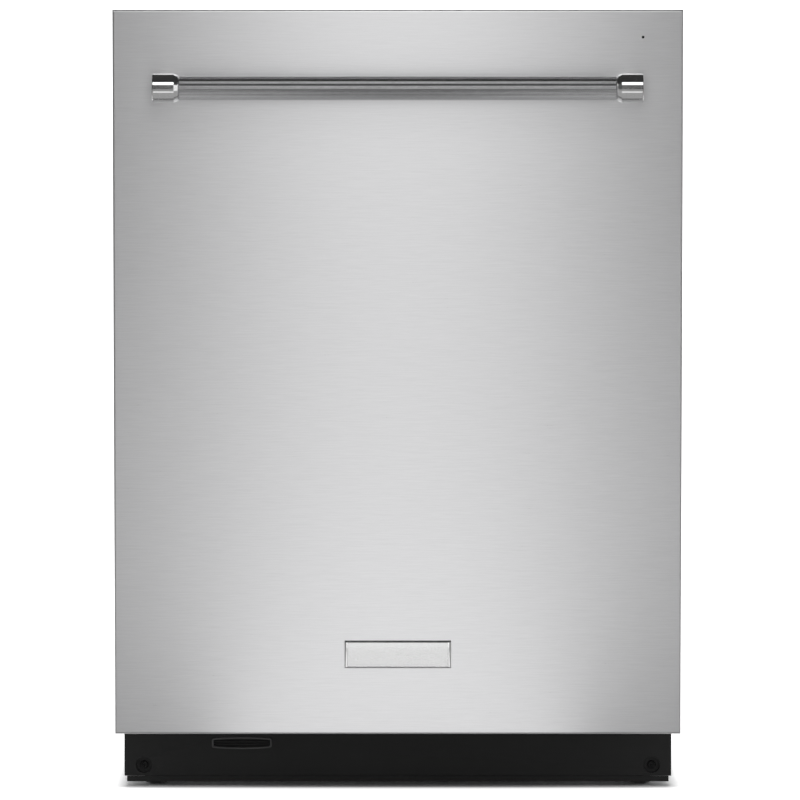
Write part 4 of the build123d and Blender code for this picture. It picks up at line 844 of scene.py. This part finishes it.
rear_depth, rear_half, rear_cut = 606.4, 270 * mm, 14 * mm
rows = [230 * mm + 576 * mm * k / 72 for k in range(73)]
columns = [2 * rear_half * k / 68 - rear_half for k in range(69)]
rear_pins = [(z, x) for z in (290, 520, 750) for x in (-210, 0, 210)]


def across_the_rear(u, v, h):
    """A point of the rear mat, whose four corners are cut off at 45 degrees."""
    reach = rear_half - max(0.0, rear_cut - min(u - rows[0], rows[-1] - u))
    return (v / rear_half * reach, behind(rear_depth) + h * 12.0 / 13.0, u)


mat("rear_felt_mat", rows, columns, across_the_rear, [(z * mm, x * mm) for z, x in rear_pins])
button = bmesh.new()
turned(button, [(0, 11), (0.8, 11), (1.4, 10), (1.8, 3.0), (2.6, 2.4), (2.6, 0)],
       (0, 0, 0), (0, 1, 0), 20, local)
repeat("rear_mat_pins", button, [(x, rear_depth + 7.0, z) for z, x in rear_pins], zinc_screw)


# Base: two side rails and a rear cross member, folded from hot-dip galvanised sheet and spot-welded. The zinc
# froze in large crystals, which give the metal its patchwork of light and dark greys.
galvanised, tree = empty_tree("hot_dip_galvanised_steel")
place = add(tree, "ShaderNodeTexCoord").outputs["Object"]
crystals = add(tree, "ShaderNodeTexVoronoi", {"Vector": place, "Scale": 110.0, "Randomness": 1.0})
tint = add(tree, "ShaderNodeSeparateColor", {0: crystals.outputs["Color"]})
tone = add(tree, "ShaderNodeMix", {
    0: tint.outputs[0], 6: paint("#8d9092"), 7: paint("#b4b7b9")}, data_type="RGBA")
rough = add(tree, "ShaderNodeMapRange", {"Value": tint.outputs[1], "To Min": 0.32, "To Max": 0.52})
body = add(tree, "ShaderNodeBsdfPrincipled", {
    "Base Color": tone.outputs[2], "Metallic": 1.0, "Roughness": rough.outputs[0]})
add(tree, "ShaderNodeOutputMaterial", {"Surface": body.outputs[0]})
dress("base_frame", galvanised, 0.4)
dress("frame_brackets", galvanised, 0.2)
points = [(x, d, z) for d, z in ((370, 118), (560, 118), (600, 40), (150, 118)) for x in (-294.0, 294.0)]
repeat("rail_screws", screw_head(3.8, 0.6), points, zinc_screw,
       turns=[(0, 0, -math.pi / 2), (0, 0, math.pi / 2)])


# Sump: moulded polypropylene filled with glass fibre, clamped under the floor pan. Ribs stiffen its wall.
# The coarse filter is a perforated plate on its mouth, and the cup filter turns out of it by its grip.
dark_pp = plastic("glass_filled_polypropylene", "#3a3d40", 0.5, 0.6, 0.05)
dress("sump_housing", dark_pp, 0.5)
sump_depth, wash_depth, cup_depth = 300.0, 331.0, 256.0
rib = bmesh.new()
slab(rib, (84.5, -1.2, 46.0), (97.0, 1.2, 100.4), local)
turns = [(0, 0, math.radians(15 + 30 * k)) for k in (1, 2, 3, 4, 7, 8, 9, 10)]
repeat("sump_ribs", rib, [(0, sump_depth, 0)] * len(turns), dark_pp, turns=turns)

filter_steel = metal("perforated_stainless_filter", "#b9babb", 0.32, (1.0, 1.0, 1.0), 0.006)
plate_z = box_of("coarse_filter")[0][2]
cell = bmesh.new()
rings = []
for radius, z in ((2.6, 2.6), (2.6, 1.4), (1.45, 1.4), (1.45, 2.6)):
    angles = [math.radians(30 + 60 * k) for k in range(6)]
    rings.append([cell.verts.new(local(radius * math.cos(a), radius * math.sin(a), z)) for a in angles])
skin(cell, rings, looped=True)
cell_pitch, row_pitch, plate_radius, cup_hole, feed_hole = 4.5, 3.9, 88.5, 34.0, 18.5
points = []
for row in range(-24, 25):
    for column in range(-24, 25):
        x, y = cell_pitch * (column + 0.5 * (row % 2)), row_pitch * row
        from_cup, from_feed = y + sump_depth - cup_depth, y + sump_depth - wash_depth
        if (x * x + y * y < plate_radius ** 2 and x * x + from_cup ** 2 > cup_hole ** 2
                and x * x + from_feed ** 2 > feed_hole ** 2):
            points.append((x, sump_depth + y, plate_z))
repeat("filter_perforations", cell, points, filter_steel)


def wall_profile(start, stop, inner, outer):
    """The closed outline of a round wall between two radii."""
    return [(start, inner), (stop, inner), (stop, outer), (start, outer), (start, inner)]


shape = bmesh.new()
for depth, inner, outer in ((sump_depth, 86.5, 91.4), (cup_depth, 31.2, 35.5), (wash_depth, 15.4, 19.5)):
    turned(shape, wall_profile(0, 3.4, inner, outer), (0, depth, plate_z), steps=64)
finish_piece("filter_plate_rims", shape, filter_steel, "cabinet", ["coarse_filter"], 0.2)


# Filter cup: a moulded frame of rings and ribs round a cylinder of fine stainless mesh, with a grip across its
# top. The mesh is 0.4 mm in the real one. It is drawn at 1.2 mm, so that it still reads as mesh from above.
mesh_steel, tree = empty_tree("woven_stainless_mesh")
place = add(tree, "ShaderNodeTexCoord").outputs["Object"]
strands = add(tree, "ShaderNodeTexBrick", {
    "Vector": place, "Color1": paint("#9c9e9f"), "Color2": paint("#8e9091"), "Mortar": paint("#2a2b2c"),
    "Scale": 1.0, "Mortar Size": 0.0003, "Brick Width": 0.0012, "Row Height": 0.0012}, offset=0.0)
body = add(tree, "ShaderNodeBsdfPrincipled", {
    "Base Color": strands.outputs["Color"], "Metallic": 0.9, "Roughness": 0.4})
add(tree, "ShaderNodeOutputMaterial", {"Surface": body.outputs[0]})
cup_bottom, cup_top = [corner[2] for corner in box_of("filter_cup")]
cup_place = (0, cup_depth, cup_bottom)
shape = bmesh.new()
turned(shape, wall_profile(2.0, 51.0, 28.2, 27.6), cup_place)
finish_piece("filter_cup_mesh", shape, mesh_steel, "filter_cup")
shape = bmesh.new()
turned(shape, [(0.0, 0), (0.0, 30.0), (4.0, 30.0), (4.0, 0)], cup_place)
for start, stop in ((18.0, 20.5), (34.0, 36.5), (49.0, 55.2)):
    turned(shape, wall_profile(start, stop, 26.6, 30.0), cup_place)
slab(shape, (-27.0, cup_depth - 2.0, 94.0), (27.0, cup_depth + 2.0, 112.0))
slab(shape, (-16.0, cup_depth - 3.4, 108.0), (16.0, cup_depth + 3.4, cup_top))
finish_piece("filter_cup_frame", shape, grey_pp, "filter_cup", ["filter_cup"], 0.4)
rib = bmesh.new()
slab(rib, (27.4, -1.1, 2.0), (29.9, 1.1, 51.0), local)
repeat("filter_cup_ribs", rib, [cup_place] * 12, grey_pp, "filter_cup",
       [(0, 0, math.radians(30 * k)) for k in range(12)])


# Pumps: each has a moulded volute on the sump's side and a synchronous motor behind it. The motors' steel
# laminations show as a bright band between black end shields. The drain pump's spigot has a stop for its hose.
def drum(start, stop, radius, soft):
    """The outline of a turned drum from start to stop, with softened rims."""
    return [(start, 0), (start, radius - soft), (start + soft, radius),
            (stop - soft, radius), (stop, radius - soft), (stop, 0)]


laminations = metal("stacked_motor_laminations", "#9a9c9e", 0.4, (0.5, 40.0, 40.0), 0.04, shade=0.12)
pump_place = (0, sump_depth, 57.0)
for name, side, neck, volute, (start, stop), radius in (
        ("wash_pump", 1, (84.2, 98.0, 16.0), (96.0, 122.0, 41.0), (122.0, 214.0), 36.0),
        ("drain_pump", -1, (84.2, 98.0, 13.0), (96.0, 116.0, 31.0), (116.0, 172.0), 26.0)):
    along, length = (side, 0, 0), stop - start
    shape = bmesh.new()
    turned(shape, drum(*neck, 1), pump_place, along, 40)
    turned(shape, drum(*volute, 3), pump_place, along, 64)
    turned(shape, drum(start, start + 0.24 * length, radius, 2.5), pump_place, along, 56)
    turned(shape, drum(start + 0.76 * length, stop, radius, 2.5), pump_place, along, 56)
    if name == "drain_pump":
        spigot = [(0, 0), (0, 9.5), (16, 9.5), (16, 12.5), (34, 12.5), (34, 9.0)]
        for k in range(3):
            spigot += [(37 + 6 * k, 9.5), (41.5 + 6 * k, 8.8)]
        spigot += [(58, 8.6), (58, 7.4), (40, 7.4), (40, 0)]
        turned(shape, spigot, (-106.0, sump_depth, 78.5), (0, 1, 0), 40)
    finish_piece(name + "_housing", shape, dark_pp, stands_for=[name])
    shape = bmesh.new()
    turned(shape, drum(start + 0.22 * length, start + 0.78 * length, radius - 1.6, 0.4), pump_place, along, 56)
    finish_piece(name + "_laminations", shape, laminations)
    rib = bmesh.new()
    slab(rib, (volute[0] + 3, volute[2] - 6, -1.2), (volute[1] + 5, volute[2] - 0.3, 1.2), local)
    turns = [(math.radians(45 * k), 0, 0 if side > 0 else math.pi) for k in range(8)]
    repeat(name + "_ribs", rib, [pump_place] * 8, dark_pp, turns=turns)


# Water inlet valve: a white nylon body with a threaded inlet that points down, and a coil in its steel yoke.
# The junction box is galvanised, open to the front, with a block of three terminals inside.
white_nylon = plastic("moulded_white_nylon", "#d9dad6", 0.38, 0.9)
low, high = box_of("inlet_valve")
shape = bmesh.new()
slab(shape, (low[0], low[1], 44.0), (high[0], high[1], 72.0))
thread = [(0, 0), (0, 13.0)]
for k in range(9):
    thread += [(1.0 + 1.6 * k, 13.2), (1.8 + 1.6 * k, 12.2)]
thread += [(16.0, 12.2), (16.0, 10.2), (2.0, 10.2), (2.0, 0)]
turned(shape, thread, (-216.0, 176.0, 44.0), (0, 0, -1), 40)
finish_piece("inlet_valve_body", shape, white_nylon, "cabinet", ["inlet_valve"], 1.2)
shape = bmesh.new()
turned(shape, drum(0, 21.0, 8.6, 1.2), (-195.0, 176.0, 72.6), steps=32)
finish_piece("inlet_valve_coil", shape, black_abs)
shape = bmesh.new()
for z in (72.0, 92.6):
    slab(shape, (-204.0, 162.5, z), (-186.2, 189.5, z + 1.4))
for depth in (162.5, 188.1):
    slab(shape, (-204.0, depth, 73.0), (-186.2, depth + 1.4, 93.2))
finish_piece("inlet_valve_yoke", shape, zinc, edge=0.2)
dress("junction_box", galvanised, 0.3)
shape = bmesh.new()
for x in (170.0, 186.0, 202.0):
    slab(shape, (x, 196, 56.0), (x + 14.0, 214.4, 76.0))
finish_piece("terminal_block", shape, white_nylon, edge=0.8)
points = [(x, 196, z) for x in (177.0, 193.0, 209.0) for z in (61, 71)]
repeat("terminal_screws", screw_head(2.6, 1.2), points, zinc_screw)


# Spray feed tube and manifold: blow-moulded grey polypropylene, clipped to the floor, the rear wall and the
# ceiling. Moulded bands stiffen the flat tube where its clips grip it.
dress("spray_feed_tube", grey_pp, 1.2)
dress("middle_manifold", grey_pp, 1.0)
shape = bmesh.new()
for z in (220, 360, 560, 700):
    slab(shape, (-23.0, 582.4, z - 5), (23.0, 595.4, z + 5))
for depth in (400, 480, 540):
    slab(shape, (-22.0, depth - 5, 105.4), (22.0, depth + 5, 119.9))
finish_piece("feed_tube_clips", shape, pale_pp, edge=0.8)


# Spray arms: two moulded shells of grey polypropylene, welded round their edge. Water leaves through small
# raised nozzles and turns the arm. A cap is screwed over the middle of each.
def arm_outline(hub, tip, reach):
    """Points round the arm: a large circle in the middle and a small one at each end, joined by tangents."""
    lean = math.acos((hub - tip) / (reach - tip))
    spans = ((reach - tip, tip, -lean, lean), (0.0, hub, lean, math.pi - lean),
             (tip - reach, tip, math.pi - lean, math.pi + lean), (0.0, hub, math.pi + lean, 2 * math.pi - lean))
    points = []
    for x, r, first, last in spans:
        for k in range(11):
            turn = first + (last - first) * k / 10
            points.append((x + r * math.cos(turn), r * math.sin(turn)))
    return points


for node, hub, tip, reach, bore, nozzle_step in (
        ("lower_spray_arm", 26.0, 15.0, 228.0, 12.3, 27.0), ("middle_spray_arm", 24.0, 14.0, 232.0, 9.3, 28.0),
        ("top_spray_arm", 22.0, 13.0, 150.0, 9.3, 24.0)):
    arm_place = (0, wash_depth, box_of(node)[0][2])
    shape = bmesh.new()
    rings = []
    for inset, z in ((2.6, 0.0), (0.6, 1.6), (0.0, 3.6), (0.0, 4.2), (0.9, 4.2),
                     (0.9, 5.0), (0.0, 5.0), (0.6, 6.8), (2.4, 8.2), (5.5, 9.0)):
        rings.append([shape.verts.new(spot(x, wash_depth + y, arm_place[2] + z))
                      for x, y in arm_outline(hub - inset, tip - inset, reach - inset)])
    skin(shape, rings, capped=True)
    turned(shape, [(8.6, 0), (8.6, 17.0), (10.4, 16.4), (11.6, 13.0), (11.6, 0)], arm_place, steps=40)
    turned(shape, [(0.2, bore), (-2.2, bore), (-2.2, bore + 2.4), (0.2, bore + 2.8), (0.2, bore)],
           arm_place, steps=40)
    finish_piece(node + "_shell", shape, grey_pp, node, [node], crease=38.0)
    nozzle = bmesh.new()
    turned(nozzle, [(-0.3, 3.6), (0.8, 3.0), (1.3, 2.5), (1.3, 1.3), (0.2, 1.1), (0.2, 0)],
           (0, 0, 0), steps=12, place=local)
    points, turns = [], []
    for k in range(1, int((reach - 24) / nozzle_step) + 1):
        way = 1 if k % 2 else -1
        for side in (-1, 1):
            points.append((side * (12.0 + nozzle_step * k), wash_depth + 3.0 * way, arm_place[2] + 8.9))
            turns.append((0.25 * way * side, 0, 0))
    repeat(node + "_nozzles", nozzle, points, dark_pp, node, turns)


# Heating element: a rod of nickel alloy, drawn over its resistance wire and bent to a loop. Heat has tinted its
# surface brown and blue. Four steel clips hold it off the floor.
sheath = metal("heat_tinted_nickel_alloy", "#6d665f", 0.36, (14.0, 14.0, 2.0), 0.006, shade=0.25)
rod_z, end_z = 111.2, 105.6
route = [(-52, 520), (-135, 520), (-165, 490), (-165, 195), (-135, 165),
         (135, 165), (165, 195), (165, 490), (135, 520), (52, 520)]
route = [(-52, 520, end_z), *[(x, depth, rod_z) for x, depth in route], (52, 520, end_z)]
lay_wire("heater_rod", [route], 7.2, 12.0, sheath, stands_for=["heating_element"], sides=14)
shape = bmesh.new()
for x in (-165, 165):
    for depth in (260, 420):
        for left in (x - 6.5, x + 5.3):
            slab(shape, (left, depth - 4, 105.3), (left + 1.2, depth + 4, 116.0))
finish_piece("heater_clips", shape, plated_steel, edge=0.2)


# Float: a hollow moulded dome. Rising water lifts it, and its stem works the overfill switch under the floor.
# It is moulded in one piece from pale polypropylene.
float_place = (-176.0, 124.0, 105.6)
shape = bmesh.new()
turned(shape, [(0, 26.8), (3.0, 26.8), (4.0, 25.6), (18.0, 24.4), (21.5, 23.2), (23.6, 19.5), (24.0, 13.0),
               (24.0, 7.0), (22.6, 5.6), (22.6, 0)], float_place, steps=56)
turned(shape, [(-15.0, 3.2), (-13.0, 4.0), (1.0, 4.0)], float_place, steps=24)
finish_piece("float_cap", shape, pale_pp, "float_dome", ["float_dome"])


# Racks: steel wire, bent, spot-welded and coated with pale grey nylon. The coating is thick and satin, and it
# rounds every joint. The tines are hairpins welded to the floor wires.
rack_nylon = plastic("nylon_coated_wire", "#b9bec4", 0.34, 1.2, Coat_Weight=0.25)
wire_size = 4.4


def evenly(first, last, count):
    """That many numbers, evenly spaced from first to last."""
    return [first + (last - first) * k / (count - 1) for k in range(count)]


def lay_basket(node, floor, rim, band):
    """A rack's cross wires, its long floor wires, and the rim and the band that tie them."""
    cross, top, bend, wide, near, far = floor + 4.45, rim - 2.25, 14.0, 244.0, 84.0, 572.0
    routes = []
    for d in evenly(114.0, 542.0, 10):
        routes.append([(-wide, d, top), (-wide, d, cross + bend), (bend - wide, d, cross),
                       (wide - bend, d, cross), (wide, d, cross + bend), (wide, d, top)])
    for x in evenly(-196.0, 196.0, 5):
        routes.append([(x, near, top), (x, near, floor + bend), (x, near + bend, floor),
                       (x, far - bend, floor), (x, far, floor + bend), (x, far, top)])
    closed = []
    for inset, z in ((0.0, rim), (4.45, band)):
        half, fore, back, cut = wide - inset, near + inset, far - inset, 22.0
        closed.append([(half - cut, back, z), (half, back - cut, z), (half, fore + cut, z),
                       (half - cut, fore, z), (cut - half, fore, z), (-half, fore + cut, z),
                       (-half, back - cut, z), (cut - half, back, z)])
    lay_wire(node + "_wires", routes, wire_size, 12.0, rack_nylon, node, [node], closed=closed)


def lay_tines(node, rows, base, height):
    """Hairpins in rows from front to rear, each one wire."""
    reach, top = 18.0, base + height
    routes = [[(x, d - reach, top), (x, d - reach, base), (x, d + reach, base), (x, d + reach, top)]
              for x in rows for d in evenly(126.0, 530.0, 5)]
    lay_wire(node + "_hairpins", routes, wire_size, 8.0, rack_nylon, node, [node + "_tines"])


lay_basket("lower_rack", 155.2, 288.0, 225.0)
lay_tines("lower_rack", (-190.0, -85.0, 20.0), 164.1, 88.0)
axle_depths, axle_z, wheel_x = (120.0, 235.0, 400.0, 525.0), 149.8, 254.0
axles = [[(-267.4, depth, axle_z), (267.4, depth, axle_z)] for depth in axle_depths]
lay_wire("lower_rack_axles", axles, 5.9, 0.0, plated_steel, "lower_rack", sides=16)
lay_basket("upper_rack", 494.0, 620.0, 560.0)
lay_tines("upper_rack", (-120.0, 10.0), 502.9, 52.0)

tyre = [(0.4, 3.4), (0.4, 6.6), (3.2, 7.4), (3.6, 13.0), (0.6, 14.0), (0.0, 15.4), (0.9, 17.2), (2.4, 17.5),
        (9.6, 17.5), (11.1, 17.2), (12.0, 15.4), (11.4, 14.0), (8.4, 13.0), (8.8, 7.4), (11.6, 6.6), (11.6, 3.4),
        (0.4, 3.4)]
for number, depth in enumerate(axle_depths, start=1):
    shape = bmesh.new()
    for side in (-1, 1):
        turned(shape, tyre, (side * wheel_x, depth, axle_z), (side, 0, 0))
        for k in range(6):
            c, s = math.cos(math.radians(60 * k)), math.sin(math.radians(60 * k))
            skin(shape, [[shape.verts.new(spot(x, depth + r * c - w * s, axle_z + r * s + w * c))
                          for r, w in ((7.0, -1.0), (7.0, 1.0), (13.6, 1.0), (13.6, -1.0))]
                         for x in (side * (wheel_x + 1.6), side * (wheel_x + 10.4))], capped=True)
    node = f"rack_wheels_{number}"
    finish_piece(node + "_tyres", shape, grey_pp, node, [node])


# Upper rack's slides: roll-formed stainless channels on the tub's walls, with a smaller channel in each. Moulded
# rollers on the rack run in these. The cup shelf folds up on its hooks.
rail_steel = metal("roll_formed_stainless", "#b6b8b9", 0.28, (0.9, 40.0, 0.9), 0.006)
dress("upper_rail_channels", rail_steel, 0.3)
dress("upper_rail_slides", rail_steel, 0.3)
roller = [(249.5, 0), (249.5, 3.4), (259.2, 3.4), (259.2, 7.8),
          (260.0, 9.1), (269.0, 9.1), (269.8, 7.8), (269.8, 0)]
shape = bmesh.new()
for side in (-1, 1):
    left, right = sorted((side * 246.3, side * 250.0))
    for depth in (146.0, 500.0):
        slab(shape, (left, depth - 30, 570.0), (right, depth + 30, 598.0))
        turned(shape, roller, (0, depth, 584.0), (side, 0, 0), 40)
finish_piece("upper_rack_roller_blocks", shape, pale_pp, "upper_rack",
             ["upper_rack_rollers"], 0.6)
dress("cup_shelf", pale_pp, 0.6)


# Silverware basket: moulded grey polypropylene, with a lattice in each window of its sides so that water runs
# through. The centre wall carries the grip, and its cross walls make eight cells.
dress("silverware_basket", grey_pp, 0.8)
dress("basket_dividers", grey_pp, 0.6)
walls, middles = (127.1, 225.9), evenly(138.0, 518.0, 8)
bar = bmesh.new()
slab(bar, (-1.0, -1.0, -42.2), (1.0, 1.0, 42.2), local)
points = [(x, depth + off, 221.85) for x in walls for depth in middles for off in (-8.5, 0.0, 8.5)]
repeat("basket_upright_bars", bar, points, grey_pp, "silverware_basket")
bar = bmesh.new()
slab(bar, (-1.0, -17.2, -1.0), (1.0, 17.2, 1.0), local)
points = [(x, depth, z) for x in walls for depth in middles for z in evenly(188.0, 256.0, 7)]
repeat("basket_level_bars", bar, points, grey_pp, "silverware_basket")
